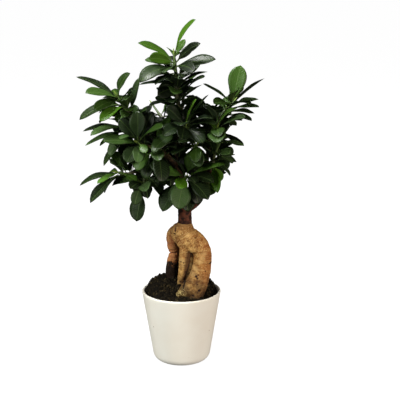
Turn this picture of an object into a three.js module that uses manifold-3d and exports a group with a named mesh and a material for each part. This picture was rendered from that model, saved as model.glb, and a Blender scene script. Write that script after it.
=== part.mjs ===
// Ginseng ficus in a plain white pot: swollen, ridged roots of Ficus microcarpa that stand out of the
// soil, with a leafy top grafted onto them. Millimetres, +Z up. The origin is the centre of the pot's
// underside, and the plant is seen from -Y.
import * as THREE from "three";
import { mergeVertices } from "three/addons/utils/BufferGeometryUtils.js";
import Module from "manifold-3d";

const wasm = await Module();
wasm.setup();

// Sizes shared by all pieces
const TOUCH_GAP = 0.3;

// The pot: a tapered cup with a rounded foot edge and a round lip
const POT_HEIGHT = 110;
const POT_RIM_RADIUS = 60;
const POT_FOOT_RADIUS = 42;
const POT_FOOT_ROUND = 13;
const POT_WALL = 3.6;
const POT_FLOOR = 5;
const POT_SIDES = 36;
const POT_ARC_STEPS = 2;

// The soil: a dome that leans to the back, and a mound round the left root
const SOIL_EDGE_LEVEL = 103;
const SOIL_DOME = { x: 0, y: 10, height: 11, reach: 64 };
const SOIL_MOUND = { x: -18, y: 12, height: 17, left: 25, right: 17, depth: 19 };
const SOIL_LUMP = 1.1;
const SOIL_WAVES = { x: 0.55, y: 0.47, shift: 1, slantX: 0.31, slantY: 0.52, slantShare: 0.7 };
const SOIL_RINGS = [0, 12, 24, 35, 46];
const SOIL_SIDES = 24;

// The rootstock: each root is a row of points [x, y, z, radius] from the neck down into the soil
const GRAFT_LEVEL = 216.3;
const ROOT_SPACING = 9.5;
const RIDGE = 0.03;
const RIDGE_EVEN = 0.6;
const RIDGE_LOBES = 3;
const ROOTS = {
  neck: [
    [5.7, 0, GRAFT_LEVEL, 10.2], [5.7, 0, 211, 13], [3.4, 1, 203, 18.6], [4.5, 2, 194, 18.5],
    [8, 2, 184, 14], [10, 3, 174, 8],
  ],
  body: [
    [6, -1, 205, 11.5], [8.5, -2.5, 197, 17], [11, -4, 187, 18.6], [13, -5, 178, 15.5], [14, -6, 169, 9],
  ],
  right: [
    [9, 0, 202, 9], [15, -1, 196, 11.6], [20.5, -2, 189, 13.9], [26.5, -3.5, 179, 15.8],
    [31.2, -5, 166, 14.8], [30.6, -8, 152, 14.6], [28.4, -12, 138, 15], [24, -18, 124, 15.4],
    [19, -23, 109, 13.5], [15, -25, 95, 11], [12, -25, 80, 8],
  ],
  toe: [
    [25, -14, 134, 13], [17, -21, 121, 13.5], [6, -26, 111, 11.5], [-4, -27, 101, 9.5], [-10, -26, 87, 7],
  ],
  middle: [
    [7, -4, 198, 11], [7, -9, 184, 10.5], [5.8, -11, 172, 8.8], [5.2, -11, 162, 9],
    [3.6, -10.5, 149, 8], [2, -9.5, 134, 7], [0.4, -8.5, 120, 5.6], [-1, -8, 104, 4.6], [-1, -7, 92, 3.8],
  ],
  left: [
    [-4, 3, 204, 8], [-10.2, 7, 197, 9.2], [-12.6, 9.5, 187, 8.6], [-12.2, 11, 177, 7.8],
    [-10.4, 12.5, 166, 6.3], [-11.2, 12.5, 157, 6.6], [-12, 12, 147, 7.3], [-13, 11, 134, 7.5],
    [-14, 10, 118, 7.2], [-14.5, 9, 102, 5.8], [-15, 9, 88, 4.4],
  ],
  back: [
    [5, 5, 203, 11], [9, 14, 192, 12], [12, 20, 174, 10.4], [14, 24, 156, 9.6], [14, 27, 139, 9.2],
    [12, 30, 122, 8.6], [10, 32, 107, 7.6], [8, 33, 92, 6],
  ],
  backLeft: [
    [-3, 8, 200, 9], [-4, 18, 187, 7.6], [-4, 25, 167, 5.8], [-6, 29, 146, 5.2], [-8, 32, 126, 5.4],
    [-10, 33, 108, 4.8], [-10, 33, 94, 4],
  ],
};
const ROOT_SIDES = { neck: 14, body: 12, right: 13, toe: 10, middle: 9, left: 9, back: 8, backLeft: 7 };
const HOLE_SPACING = 24;
const HOLE_SIDES = 8;
const HOLE_GAP = 2.1;

// The grafted wood: each branch is a row of points [x, y, z, radius], and its base lies in its parent
const BRANCH_SPACING = 22;
const BRANCH_SIDES = 6;
const BRANCHES = {
  top: [
    [5.7, 0, GRAFT_LEVEL + TOUCH_GAP, 10], [5.7, 0, 228, 10.1], [4, 1, 243, 9.5], [1, 3, 262, 6.8],
    [-2, 5, 290, 5.6], [-4, 5, 325, 4.8], [-5, 3, 355, 4], [-3.6, 0, 384, 3.1],
  ],
  rightLow: [
    [5, 0, 231, 6], [14, -1, 239, 5.8], [25, -2, 248, 5], [36, -4, 270, 4.4], [42, -5, 285, 3.6],
    [44, -6, 296, 2.8],
  ],
  rightTop: [[35, -4, 267, 3.8], [37, 0, 290, 3.6], [41, 4, 325, 3.2], [56, 4, 364, 2.6]],
  leftTop: [[-2.5, 5, 298, 4.4], [-20, 4, 316, 4], [-44, 2, 342, 3.4], [-64, 0, 368, 2.6]],
  leftLow: [[-19, 4, 315, 3], [-34, -3, 309, 2.9], [-50, -8, 301, 2.7], [-66, -10, 296, 2.4]],
  leftHang: [[-36, -4, 308, 2.3], [-44, -10, 300, 2.3], [-50, -14, 292, 2.1]],
  leftMid: [[-43, 2, 341, 2.6], [-54, 5, 343, 2.5], [-66, 8, 346, 2.3]],
  centreLeft: [[-30, 3, 327, 2.8], [-40, -6, 331, 2.6], [-48, -14, 334, 2.3]],
  leftCentre: [[-12, 4, 309, 2.8], [-20, -7, 317, 2.6], [-28, -18, 323, 2.3]],
  centreMid: [[-2.5, 5, 298, 2.9], [7, -6, 314, 2.6], [15, -17, 326, 2.3]],
  rightMid: [[40, 4, 318, 2.8], [44, -7, 336, 2.6], [47, -16, 346, 2.3]],
  centre: [[-4, 4, 335, 2.8], [-1, -5, 342, 2.6], [2, -13, 348, 2.3]],
  centreLow: [[0, 3, 270, 3], [2, -7, 276, 2.7], [4, -15, 282, 2.3]],
  backLeft: [[-4, 4, 343, 3], [-13, 16, 353, 2.7], [-22, 27, 362, 2.4]],
  backRight: [[41, 4, 322, 2.6], [41, 17, 332, 2.5], [42, 28, 340, 2.3]],
  backLow: [[-1, 4, 280, 3], [-6, 16, 287, 2.7], [-10, 28, 292, 2.3]],
  backLowRight: [[38, -4, 276, 2.6], [41, 9, 283, 2.5], [44, 20, 290, 2.3]],
  backTop: [[-4, 2, 366, 2.4], [-1, 12, 376, 2.3], [2, 22, 384, 2.2]],
  backMid: [[-4, 5, 312, 2.8], [0, 18, 320, 2.6], [4, 30, 328, 2.3]],
};

// The leafy shoots: each goes on from its branch through the points [x, y, z] to a pointed bud. A leaf
// row is [place on the stem, x, y, z of its tip, width, arch, turn of its face to the front]. "more" is
// the number of further leaves that wind up the stem by the golden angle.
const SHOOTS = {
  top: {
    path: [[-6, 0, 430], [-9, 0, 464]],
    leaves: [
      [0.97, 22, -28, 516, 20, 46, 50], [0.95, 7, 12, 486, 10, 10, 40], [0.88, -61, -4, 482, 22, 30, 25],
      [0.85, -44, -48, 463, 20, 25, 60], [0.80, -52, 18, 456, 20, 25, 30],
      [0.85, 18, 10, 480, 13, 10, 60], [0.83, 29, -14, 482, 17, 35, 50], [0.80, 51, -10, 459, 22, 16, 36],
      [0.78, 25, -34, 444, 20, 50, 40], [0.72, -61, -22, 428, 24, 75, 35],
      [0.68, -37, -32, 431, 16, 40, 0], [0.62, -45, 14, 433, 18, 40, 20],
      [0.50, -61, 16, 420, 20, 14, 10], [0.38, -33, -30, 416, 25, 40, 75], [0.45, 40, 12, 439, 20, 30, 0],
      [0.36, 39, -26, 437, 20, 16, 20], [0.13, 31, -28, 425, 14, 22, 0], [0.05, 24, -22, 408, 16, 20, 0],
      [0.08, -46, -20, 392, 20, 60, 0],
    ],
    more: 10,
  },
  rightTop: {
    path: [[68, 2, 384], [78, 0, 397]],
    leaves: [
      [0.95, 88, 14, 448, 28, 12, 30], [0.90, 118, -46, 436, 22, 10, 10],
      [0.85, 115, 16, 398, 20, 14, 10], [0.65, 112, -32, 393, 20, 16, 10],
      [0.50, 109, 10, 378, 17, 24, 15], [0.35, 102, -30, 373, 18, 30, 10],
      [0.92, 32, -8, 424, 17, 12, 15], [0.85, 51, -28, 397, 20, 35, 30], [0.60, 44, -14, 384, 22, 30, 20],
      [0.30, 69, -30, 356, 22, 50, 40],
    ],
    more: 8,
  },
  rightLow: {
    path: [[50, -9, 322], [58, -12, 342]],
    leaves: [
      [0.90, 92, -20, 335, 20, 42, 15], [0.62, 76, -18, 321, 21, 45, 35], [0.50, 77, -8, 307, 18, 38, 25],
      [0.30, 68, -42, 311, 20, 30, 20], [0.25, 73, -4, 287, 12, 50, 30], [0.20, 60, -16, 282, 14, 30, 40],
      [0.15, 53, -46, 271, 19, 40, 40],
    ],
    more: 9,
  },
  rightMid: { path: [[50, -26, 356], [52, -34, 365]], leaves: [], more: 11 },
  centreMid: { path: [[20, -28, 334], [23, -38, 341]], leaves: [], more: 11 },
  centreLow: {
    path: [[6, -25, 288], [8, -34, 293]],
    leaves: [
      [0.95, 21, -28, 331, 23, 10, 65], [0.80, 59, -68, 327, 20, 20, 20],
      [0.75, -4, -60, 250, 31, 40, 30], [0.35, -27, -36, 241, 34, 30, 20],
      [0.60, 29, -44, 256, 24, 45, 30], [0.90, -4, -66, 282, 20, 20, 30],
      [0.70, -29, -52, 303, 22, 35, 35], [0.85, -12, -60, 325, 20, 35, 30],
    ],
    more: 7,
  },
  leftHang: {
    path: [[-54, -20, 283], [-57, -24, 273]],
    leaves: [
      [0.15, -34, -36, 278, 20, 40, 30], [0.40, -48, -42, 262, 12, 30, 0],
      [0.95, -65, -34, 226, 31, 2, 0], [0.50, -71, -40, 276, 18, 30, 30],
    ],
    more: 6,
  },
  leftLow: {
    path: [[-80, -12, 292], [-91, -14, 295]],
    leaves: [
      [0.85, -148, -22, 277, 22, 38, 10], [0.90, -132, -34, 254, 22, 25, 15],
      [0.95, -119, -58, 288, 12, 20, 10], [0.70, -99, -6, 325, 20, 15, 40],
      [0.30, -89, -34, 320, 24, 20, 60], [0.80, -64, -40, 299, 14, 20, 15],
    ],
    more: 7,
  },
  leftTop: {
    path: [[-80, -2, 386], [-91, -4, 405]],
    leaves: [
      [0.88, -152, 12, 432, 22, 28, 10], [0.90, -134, -42, 415, 22, 34, 30],
      [0.93, -72, -4, 439, 22, 64, 30], [0.85, -66, -22, 417, 20, 35, 25],
      [0.30, -60, 10, 431, 14, 12, 10], [0.85, -123, -38, 397, 20, 35, 30],
      [0.70, -146, -16, 373, 22, 45, 25], [0.60, -119, -36, 374, 18, 50, 30],
      [0.45, -93, -22, 372, 12, 35, 30], [0.50, -69, -34, 389, 18, 30, 15],
    ],
    more: 7,
  },
  leftMid: {
    path: [[-75, 7, 351], [-80, 5, 361]],
    leaves: [
      [0.90, -144, 4, 353, 24, 22, 10], [0.80, -128, -46, 355, 18, 40, 15],
      [0.70, -117, -40, 347, 14, 30, 0], [0.60, -140, -4, 333, 20, 24, 10],
      [0.50, -107, -20, 325, 20, 45, 15], [0.20, -114, 2, 300, 17, 40, 30],
    ],
    more: 8,
  },
  leftCentre: { path: [[-34, -28, 327], [-39, -38, 333]], leaves: [], more: 11 },
  centreLeft: {
    path: [[-56, -24, 338], [-62, -33, 343]],
    leaves: [
      [0.95, -61, -30, 388, 25, 10, 10], [0.85, -84, -26, 380, 22, 15, 60],
      [0.80, -45, -20, 388, 22, 15, 50], [0.90, -32, -58, 385, 22, 40, 30],
      [0.60, -104, -56, 355, 24, 25, 30], [0.95, -49, -54, 331, 14, 30, 30],
      [0.60, -80, -54, 327, 24, 50, 30],
    ],
    more: 6,
  },
  centre: {
    path: [[5, -26, 358], [7, -37, 368]],
    leaves: [
      [0.90, -21, -40, 395, 25, 20, 55], [0.70, -12, -16, 397, 16, 20, 10],
      [0.95, 23, -44, 407, 15, 25, 30], [0.80, 34, -34, 415, 16, 20, 0], [0.85, 42, -46, 394, 20, 45, 10],
      [0.75, -29, -62, 358, 24, 50, 30], [0.80, 34, -62, 358, 24, 50, 30],
      [0.90, 2, -70, 341, 24, 50, 30], [0.60, 53, -48, 375, 22, 40, 15],
      [0.20, -48, -52, 324, 22, 60, 20],
    ],
    more: 7,
  },
  backLeft: { path: [[-33, 42, 374], [-42, 54, 385]], leaves: [], more: 11 },
  backRight: { path: [[46, 43, 352], [50, 57, 363]], leaves: [], more: 11 },
  backLow: { path: [[-17, 44, 297], [-23, 58, 300]], leaves: [], more: 10 },
  backLowRight: { path: [[50, 36, 295], [56, 50, 299]], leaves: [], more: 10 },
  backTop: { path: [[4, 35, 397], [6, 47, 410]], leaves: [], more: 10 },
  backMid: { path: [[8, 46, 338], [11, 61, 347]], leaves: [], more: 11 },
};
const SHOOT_LEAD = 6;
const SHOOT_TIP_RADIUS = 1.4;
const BUD_LENGTH = 11;
const SHOOT_SPACING = 30;
const SHOOT_SIDES = 5;

// A leaf: a short stalk, then a blade that is widest past its middle, folded a little along its midrib
const STALK_LENGTH = 8;
const STALK_WIDTH = 1.7;
const BLADE_THICKNESS = 1.5;
const BLADE_WIDEST = 0.571;
const BLADE_FOLD = 0.2;
const BLADE_TAPER = 0.3;
const BLADE_BLUNT = 0.75;
const BLADE_STATIONS = [0.24, 0.54, 0.83];

// The further leaves of a shoot: each pair holds the value at the stem's foot and at its tip
const SEED = 41;
const GOLDEN_ANGLE = 137.5;
const MORE_FROM = 0.14;
const MORE_SPAN = 0.8;
const MORE_LEAN = [92, 50];
const MORE_LENGTH = [52, 44];
const MORE_STRETCH = [0.84, 1.16];
const MORE_RATIO = [0.44, 0.54];
const MORE_ARCH = [35, 75];
const MORE_FRONT = [-28, 42];
const MORE_STRAY = 20;

// How a leaf turns aside, or grows smaller, for the leaves and the wood that are there already
const TEST_SPACING = 4;
const TEST_ROWS = 12;
const LEAF_GAP = 4.1;
const STALK_GAP = 2.8;
const FREE_REACH = 12;
const FAR_APART = 130;
const TEST_ACROSS = [-1, -0.5, 0, 0.5, 1];
const TEST_STALK = [0.4, 0.7, 1];
const TEST_BUD = [0.4, 0.9];
const WOOD_GAP = 2;
const LEAF_SIZES = [1, 0.84, 0.7];
const TURNS = [
  [0, 0], [8, 0], [-8, 0], [0, 8], [0, -8], [14, 8], [-14, 8], [14, -8], [-14, -8], [22, 0], [-22, 0],
  [0, 18], [0, -18], [24, 14], [-24, 14], [24, -14], [-24, -14], [36, 0], [-36, 0], [0, 30], [0, -30],
  [50, 10], [-50, 10], [60, -15], [-60, -15],
];

// Open channels between the clusters of the crown, which its further leaves keep clear of. Each is a
// circle [x, z, radius] at y = 0 that runs on to the front and the back, and all meet in one far point.
const CHANNELS_MEET = { y: -1421, z: 591 };
const CHANNELS = [
  [-28, 487, 9], [18, 492, 10], [38, 474, 9], [45, 448, 8], [55, 429, 12], [35, 415, 5], [65, 413, 5],
  [22, 411, 5], [24, 423, 4], [103, 410, 6], [52, 403, 6], [41, 400, 6], [-75, 447, 8], [-74, 428, 6],
  [-47, 409, 11], [-54, 396, 6], [-33, 387, 8], [90, 356, 10], [76, 354, 6], [-127, 312, 11],
  [95, 316, 14], [82, 329, 6], [72, 298, 6], [90, 294, 14], [60, 277, 4], [73, 266, 14], [56, 240, 16],
  [-82, 264, 7], [-92, 254, 15], [-85, 227, 8], [-41, 252, 5], [-41, 236, 7],
];

const UP = new THREE.Vector3(0, 0, 1);
const rad = THREE.MathUtils.degToRad;
const lerp = THREE.MathUtils.lerp;

/** Closed solid from any closed geometry: shared corners are merged, and empty triangles left out. */
function solidOf(geometry) {
  const bare = new THREE.BufferGeometry();
  bare.setAttribute("position", geometry.getAttribute("position"));
  bare.setIndex(geometry.getIndex());
  const merged = mergeVertices(bare, 1e-4);
  const index = merged.getIndex().array;
  const corners = [];
  for (let i = 0; i < index.length; i += 3) {
    const [a, b, c] = [index[i], index[i + 1], index[i + 2]];
    if (a !== b && b !== c && c !== a) corners.push(a, b, c);
  }
  const vertProperties = new Float32Array(merged.getAttribute("position").array);
  const triVerts = new Uint32Array(corners);
  return new wasm.Manifold(new wasm.Mesh({ numProp: 3, vertProperties, triVerts }));
}

/** Solid from corner points and triangles of their numbers. */
function solidFrom(points, triangles) {
  const geometry = new THREE.BufferGeometry().setFromPoints(points);
  geometry.setIndex(triangles);
  return solidOf(geometry);
}

/** Named mesh of one solid with its finish. */
function meshOf(name, solid, finish) {
  const found = solid.getMesh();
  const geometry = new THREE.BufferGeometry();
  geometry.setAttribute("position", new THREE.BufferAttribute(new Float32Array(found.vertProperties), 3));
  geometry.setIndex(new THREE.BufferAttribute(new Uint32Array(found.triVerts), 1));
  geometry.computeVertexNormals();
  const mesh = new THREE.Mesh(geometry, finish);
  mesh.name = name;
  return mesh;
}

/** Points along a row of [x, y, z, radius], on one smooth curve, about "spacing" apart. */
function stationsAlong(row, spacing) {
  const curve = new THREE.CatmullRomCurve3(
    row.map(([x, y, z]) => new THREE.Vector3(x, y, z)), false, "catmullrom", 0.5);
  const last = row.length - 1;
  const stations = [];
  for (let i = 0; i < last; i++) {
    const steps = Math.max(1, Math.round(curve.points[i].distanceTo(curve.points[i + 1]) / spacing));
    for (let j = 0; j < steps; j++) {
      const at = curve.getPoint((i + j / steps) / last);
      stations.push({ at, radius: lerp(row[i][3], row[i + 1][3], j / steps) });
    }
  }
  stations.push({ at: curve.getPoint(1), radius: row[last][3] });
  stations.forEach((station, i) => {
    const before = stations[Math.max(0, i - 1)].at;
    const after = stations[Math.min(stations.length - 1, i + 1)].at;
    station.ahead = after.clone().sub(before).normalize();
  });
  const [first, second] = row.map(([x, y, z]) => new THREE.Vector3(x, y, z));
  stations[0].ahead = second.sub(first).normalize();
  const end = curve.points[last].clone().sub(curve.points[last - 1]).normalize();
  stations[stations.length - 1].ahead = end;
  return stations;
}

/** Closed round solid through stations, flat at its ends, or pointed at its end if the radius is 0. */
function tube(stations, sides, relief = () => 1) {
  const points = [];
  const triangles = [];
  let across = new THREE.Vector3(1, 0, 0);
  if (Math.abs(stations[0].ahead.x) > 0.9) across = new THREE.Vector3(0, 1, 0);
  const pointed = stations[stations.length - 1].radius === 0;
  const rings = pointed ? stations.length - 1 : stations.length;
  for (let i = 0; i < rings; i++) {
    const { at, ahead, radius } = stations[i];
    across = across.clone().addScaledVector(ahead, -across.dot(ahead)).normalize();
    const second = ahead.clone().cross(across);
    for (let j = 0; j < sides; j++) {
      const turn = (2 * Math.PI * j) / sides;
      const reach = radius * relief(i, turn);
      points.push(at.clone()
        .addScaledVector(across, reach * Math.cos(turn))
        .addScaledVector(second, reach * Math.sin(turn)));
    }
  }
  for (let i = 0; i + 1 < rings; i++) {
    for (let j = 0; j < sides; j++) {
      const k = (j + 1) % sides;
      const [a, b] = [i * sides + j, i * sides + k];
      triangles.push(a, b, b + sides, a, b + sides, a + sides);
    }
  }
  const start = points.push(stations[0].at.clone()) - 1;
  const end = points.push(stations[stations.length - 1].at.clone()) - 1;
  for (let j = 0; j < sides; j++) {
    const k = (j + 1) % sides;
    triangles.push(start, k, j);
    triangles.push(end, (rings - 1) * sides + j, (rings - 1) * sides + k);
  }
  return solidFrom(points, triangles);
}

// Pot

const wallLean = (POT_RIM_RADIUS - POT_FOOT_RADIUS) / POT_HEIGHT;
const wallAcross = POT_WALL * Math.hypot(1, wallLean);
const innerRadius = (height) => POT_FOOT_RADIUS + wallLean * height - wallAcross;

function makePot(finish) {
  const lean = Math.atan(wallLean);
  const slant = Math.hypot(1, wallLean);
  const footCentre = POT_FOOT_RADIUS + wallLean * POT_FOOT_ROUND - POT_FOOT_ROUND * slant;
  const lip = POT_WALL / 2;
  const profile = new THREE.Path();
  profile.moveTo(0, 0);
  profile.lineTo(footCentre, 0);
  profile.absarc(footCentre, POT_FOOT_ROUND, POT_FOOT_ROUND, -Math.PI / 2, -lean, false);
  const lipCentre = POT_RIM_RADIUS - lip * slant - wallLean * lip;
  profile.absarc(lipCentre, POT_HEIGHT - lip, lip, -lean, Math.PI - lean, false);
  profile.lineTo(innerRadius(POT_FLOOR), POT_FLOOR);
  profile.lineTo(0, POT_FLOOR);
  const outline = profile.getPoints(POT_ARC_STEPS);
  const cup = new THREE.LatheGeometry(outline, POT_SIDES);
  cup.rotateX(Math.PI / 2);
  return meshOf("pot", solidOf(cup), finish);
}

// Rootstock

/** All roots grown together, with low ridges across each. */
function makeRootstock(finish) {
  const relief = (i, turn) => {
    if (i === 0) return 1;
    const uneven = RIDGE_EVEN + (1 - RIDGE_EVEN) * Math.cos(RIDGE_LOBES * turn + i);
    return 1 + RIDGE * (i % 2 ? 1 : -1) * uneven;
  };
  const solids = Object.entries(ROOTS).map(([name, row]) =>
    tube(stationsAlong(row, ROOT_SPACING), ROOT_SIDES[name], relief));
  return meshOf("rootstock", solids.reduce((all, solid) => all.add(solid)), finish);
}

/** The plain holes in which the roots stand, a little wider and deeper than they are. */
function rootHoles() {
  const rows = Object.entries(ROOTS).filter(([, row]) => row[row.length - 1][2] < SOIL_EDGE_LEVEL);
  const solids = rows.map(([, row]) => {
    const stations = stationsAlong(row, HOLE_SPACING);
    const last = stations[stations.length - 1];
    last.at.addScaledVector(last.ahead, HOLE_GAP);
    for (const station of stations) station.radius += HOLE_GAP;
    return tube(stations, HOLE_SIDES);
  });
  return solids.reduce((all, solid) => all.add(solid));
}

// Soil

function soilLevel(x, y) {
  const dome = 1 - ((x - SOIL_DOME.x) ** 2 + (y - SOIL_DOME.y) ** 2) / SOIL_DOME.reach ** 2;
  const side = x < SOIL_MOUND.x ? SOIL_MOUND.left : SOIL_MOUND.right;
  const away = ((x - SOIL_MOUND.x) / side) ** 2 + ((y - SOIL_MOUND.y) / SOIL_MOUND.depth) ** 2;
  const waves = SOIL_WAVES;
  const lumps = Math.sin(waves.x * x + waves.shift) * Math.cos(waves.y * y)
    + waves.slantShare * Math.sin(waves.slantX * x - waves.slantY * y);
  return SOIL_EDGE_LEVEL + SOIL_DOME.height * Math.max(0, dome) + SOIL_MOUND.height * Math.exp(-away / 2)
    + SOIL_LUMP * lumps;
}

function makeSoil(roots, finish) {
  const bottom = POT_FLOOR + TOUCH_GAP;
  const points = [new THREE.Vector3(0, 0, soilLevel(0, 0))];
  const ring = (radius, level) => {
    for (let j = 0; j < SOIL_SIDES; j++) {
      const turn = (2 * Math.PI * j) / SOIL_SIDES;
      const [x, y] = [radius * Math.cos(turn), radius * Math.sin(turn)];
      points.push(new THREE.Vector3(x, y, level ?? soilLevel(x, y)));
    }
  };
  for (const radius of SOIL_RINGS.slice(1)) ring(radius);
  ring(innerRadius(SOIL_EDGE_LEVEL) - TOUCH_GAP * 2, SOIL_EDGE_LEVEL);
  ring(innerRadius(bottom) - TOUCH_GAP * 2, bottom);
  const rings = SOIL_RINGS.length + 1;
  const foot = points.push(new THREE.Vector3(0, 0, bottom)) - 1;
  const triangles = [];
  for (let j = 0; j < SOIL_SIDES; j++) {
    const k = (j + 1) % SOIL_SIDES;
    triangles.push(0, 1 + j, 1 + k);
    for (let i = 0; i + 1 < rings; i++) {
      const [a, b] = [1 + i * SOIL_SIDES + j, 1 + i * SOIL_SIDES + k];
      triangles.push(a, a + SOIL_SIDES, b + SOIL_SIDES, a, b + SOIL_SIDES, b);
    }
    const base = 1 + (rings - 1) * SOIL_SIDES;
    triangles.push(foot, base + k, base + j);
  }
  return meshOf("soil", solidFrom(points, triangles).subtract(roots), finish);
}

// Leaves

/** Numbers from 0 to 1, the same on every run. */
function randomFrom(seed) {
  let state = seed;
  return () => {
    state = (state + 0x6d2b79f5) | 0;
    let mixed = Math.imul(state ^ (state >>> 15), 1 | state);
    mixed = (mixed + Math.imul(mixed ^ (mixed >>> 7), 61 | mixed)) ^ mixed;
    return ((mixed ^ (mixed >>> 14)) >>> 0) / 4294967296;
  };
}

/** A leaf arched from its base to its tip, as a function from the blade to a point in space. */
function makeLeaf(base, chord, width, arch, front) {
  const span = chord.length();
  const along = chord.clone().normalize();
  const level = along.clone().cross(UP).normalize();
  const above = level.clone().cross(along);
  const bend = rad(Math.max(2, arch));
  const length = (span * bend) / 2 / Math.sin(bend / 2);
  const stalk = STALK_LENGTH / length;
  const turn = rad(chord.x < 0 ? front : -front);
  const at = (s, across, lift) => {
    const angle = bend / 2 - bend * s;
    const forward = (length * (Math.sin(bend / 2) - Math.sin(angle))) / bend;
    const upward = (length * (Math.cos(angle) - Math.cos(bend / 2))) / bend;
    const ahead = along.clone().multiplyScalar(Math.cos(angle)).addScaledVector(above, Math.sin(angle));
    const flat = level.clone().cross(ahead);
    const side = level.clone().multiplyScalar(Math.cos(turn)).addScaledVector(flat, Math.sin(turn));
    const face = side.clone().cross(ahead);
    const u = Math.max(0, (s - stalk) / (1 - stalk));
    const swell = (u / BLADE_WIDEST) * Math.pow((1 - u) / (1 - BLADE_WIDEST), BLADE_BLUNT);
    const half = Math.max(STALK_WIDTH / 2 * (1 - u), (width / 2) * swell);
    return base.clone()
      .addScaledVector(along, forward)
      .addScaledVector(above, upward)
      .addScaledVector(side, across * half * Math.cos(BLADE_FOLD))
      .addScaledVector(face, Math.abs(across) * half * Math.sin(BLADE_FOLD) + lift);
  };
  return { at, stalk, length, base };
}

/** Closed blade and stalk, with a corner at each edge and one above and below the midrib. */
function leafSolid({ at, stalk }) {
  const places = [0, stalk, ...BLADE_STATIONS.map((u) => stalk + u * (1 - stalk))];
  const points = [];
  places.forEach((s) => {
    const half = (BLADE_THICKNESS / 2) * (1 - BLADE_TAPER * s);
    points.push(at(s, -1, 0), at(s, 0, -half), at(s, 1, 0), at(s, 0, half));
  });
  const tip = points.push(at(1, 0, 0)) - 1;
  const triangles = [0, 1, 2, 0, 2, 3];
  for (let i = 0; i + 1 < places.length; i++) {
    const [a, b] = [4 * i, 4 * i + 4];
    triangles.push(a, b + 1, a + 1, a, b, b + 1);
    triangles.push(a + 2, a + 1, b + 1, a + 2, b + 1, b + 2);
    triangles.push(a + 3, a + 2, b + 2, a + 3, b + 2, b + 3);
    triangles.push(a, a + 3, b + 3, a, b + 3, b);
  }
  const end = 4 * (places.length - 1);
  for (let j = 0; j < 4; j++) triangles.push(end + j, tip, end + ((j + 1) % 4));
  return solidFrom(points, triangles);
}

/** Test points spread over a leaf's blade and along its stalk. */
function testPoints({ at, stalk, base }) {
  const blade = [];
  for (let i = 0; i < TEST_ROWS; i++) {
    for (const across of TEST_ACROSS) blade.push(at(lerp(stalk, 1, (i + 0.5) / TEST_ROWS), across, 0));
  }
  return { base, blade, stalk: TEST_STALK.map((share) => at(share * stalk, 0, 0)) };
}

/** Whether any point of one set comes closer than "gap" to one of the other. */
function meets(points, others, gap) {
  return points.some((p) => others.some((q) => p.distanceToSquared(q) < gap * gap));
}

/** Whether a point lies in one of the crown's open channels. */
function inChannel(point, channels) {
  const scale = CHANNELS_MEET.y / (CHANNELS_MEET.y - point.y);
  const [x0, z0] = [point.x * scale, lerp(CHANNELS_MEET.z, point.z, scale)];
  return channels.some(([x, z, radius]) => Math.hypot(x0 - x, z0 - z) < radius);
}

/** Whether a leaf keeps clear of the leaves placed before it, of all the wood and of the channels. */
function isClear(leaf, { taken, wood, channels }) {
  if ([...leaf.blade, ...leaf.stalk].some((point) => inChannel(point, channels))) return false;
  for (const other of taken) {
    if (other.base.distanceTo(leaf.base) > FAR_APART) continue;
    if (meets(leaf.blade, other.blade, LEAF_GAP)) return false;
    if (meets(leaf.stalk, other.blade, STALK_GAP)) return false;
    if (meets(leaf.blade, other.stalk, STALK_GAP)) return false;
  }
  return !wood.some(({ at, radius }) =>
    at.distanceTo(leaf.base) > FREE_REACH && meets([at], leaf.blade, radius + WOOD_GAP));
}

/** The first of the leaf's turned places that is clear, at full size or smaller, or nothing. */
function settle({ base, tip, width, arch, front }, room) {
  const chord = tip.clone().sub(base);
  const level = chord.clone().cross(UP).normalize();
  for (const size of LEAF_SIZES) {
    for (const [sideways, upward] of TURNS) {
      const turned = chord.clone().applyAxisAngle(level, rad(upward)).applyAxisAngle(UP, rad(sideways));
      const leaf = makeLeaf(base, turned.multiplyScalar(size), width * size, arch, front);
      const points = testPoints(leaf);
      if (isClear(points, room)) {
        room.taken.push(points);
        return leaf;
      }
    }
  }
  return null;
}

/** Point and direction at a share of the way along stations. */
function pointAlong(stations, share) {
  const steps = stations.slice(1).map((station, i) => station.at.distanceTo(stations[i].at));
  let left = share * steps.reduce((sum, step) => sum + step, 0);
  let i = 0;
  while (i < steps.length - 1 && left > steps[i]) left -= steps[i++];
  const [from, to] = [stations[i].at, stations[i + 1].at];
  return { at: from.clone().lerp(to, left / steps[i]), ahead: to.clone().sub(from).normalize() };
}

// Shoots

/** The row of a shoot's stem, which starts just off its branch's flat end and goes on the same way. */
function shootRow(name) {
  const branch = BRANCHES[name];
  const [before, end] = branch.slice(-2).map(([x, y, z]) => new THREE.Vector3(x, y, z));
  const ahead = end.clone().sub(before).normalize();
  const radius = branch[branch.length - 1][3];
  const row = [TOUCH_GAP, SHOOT_LEAD].map((gap) => {
    const { x, y, z } = end.clone().addScaledVector(ahead, gap);
    return [x, y, z, radius];
  });
  const path = SHOOTS[name].path;
  path.forEach((point, i) => {
    row.push([...point, lerp(radius, SHOOT_TIP_RADIUS, (i + 1) / path.length)]);
  });
  return row;
}

/** The stem's pointed bud. */
function budTip(stations) {
  const { at, ahead } = stations[stations.length - 1];
  return { at: at.clone().addScaledVector(ahead, BUD_LENGTH), ahead, radius: 0 };
}

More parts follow.
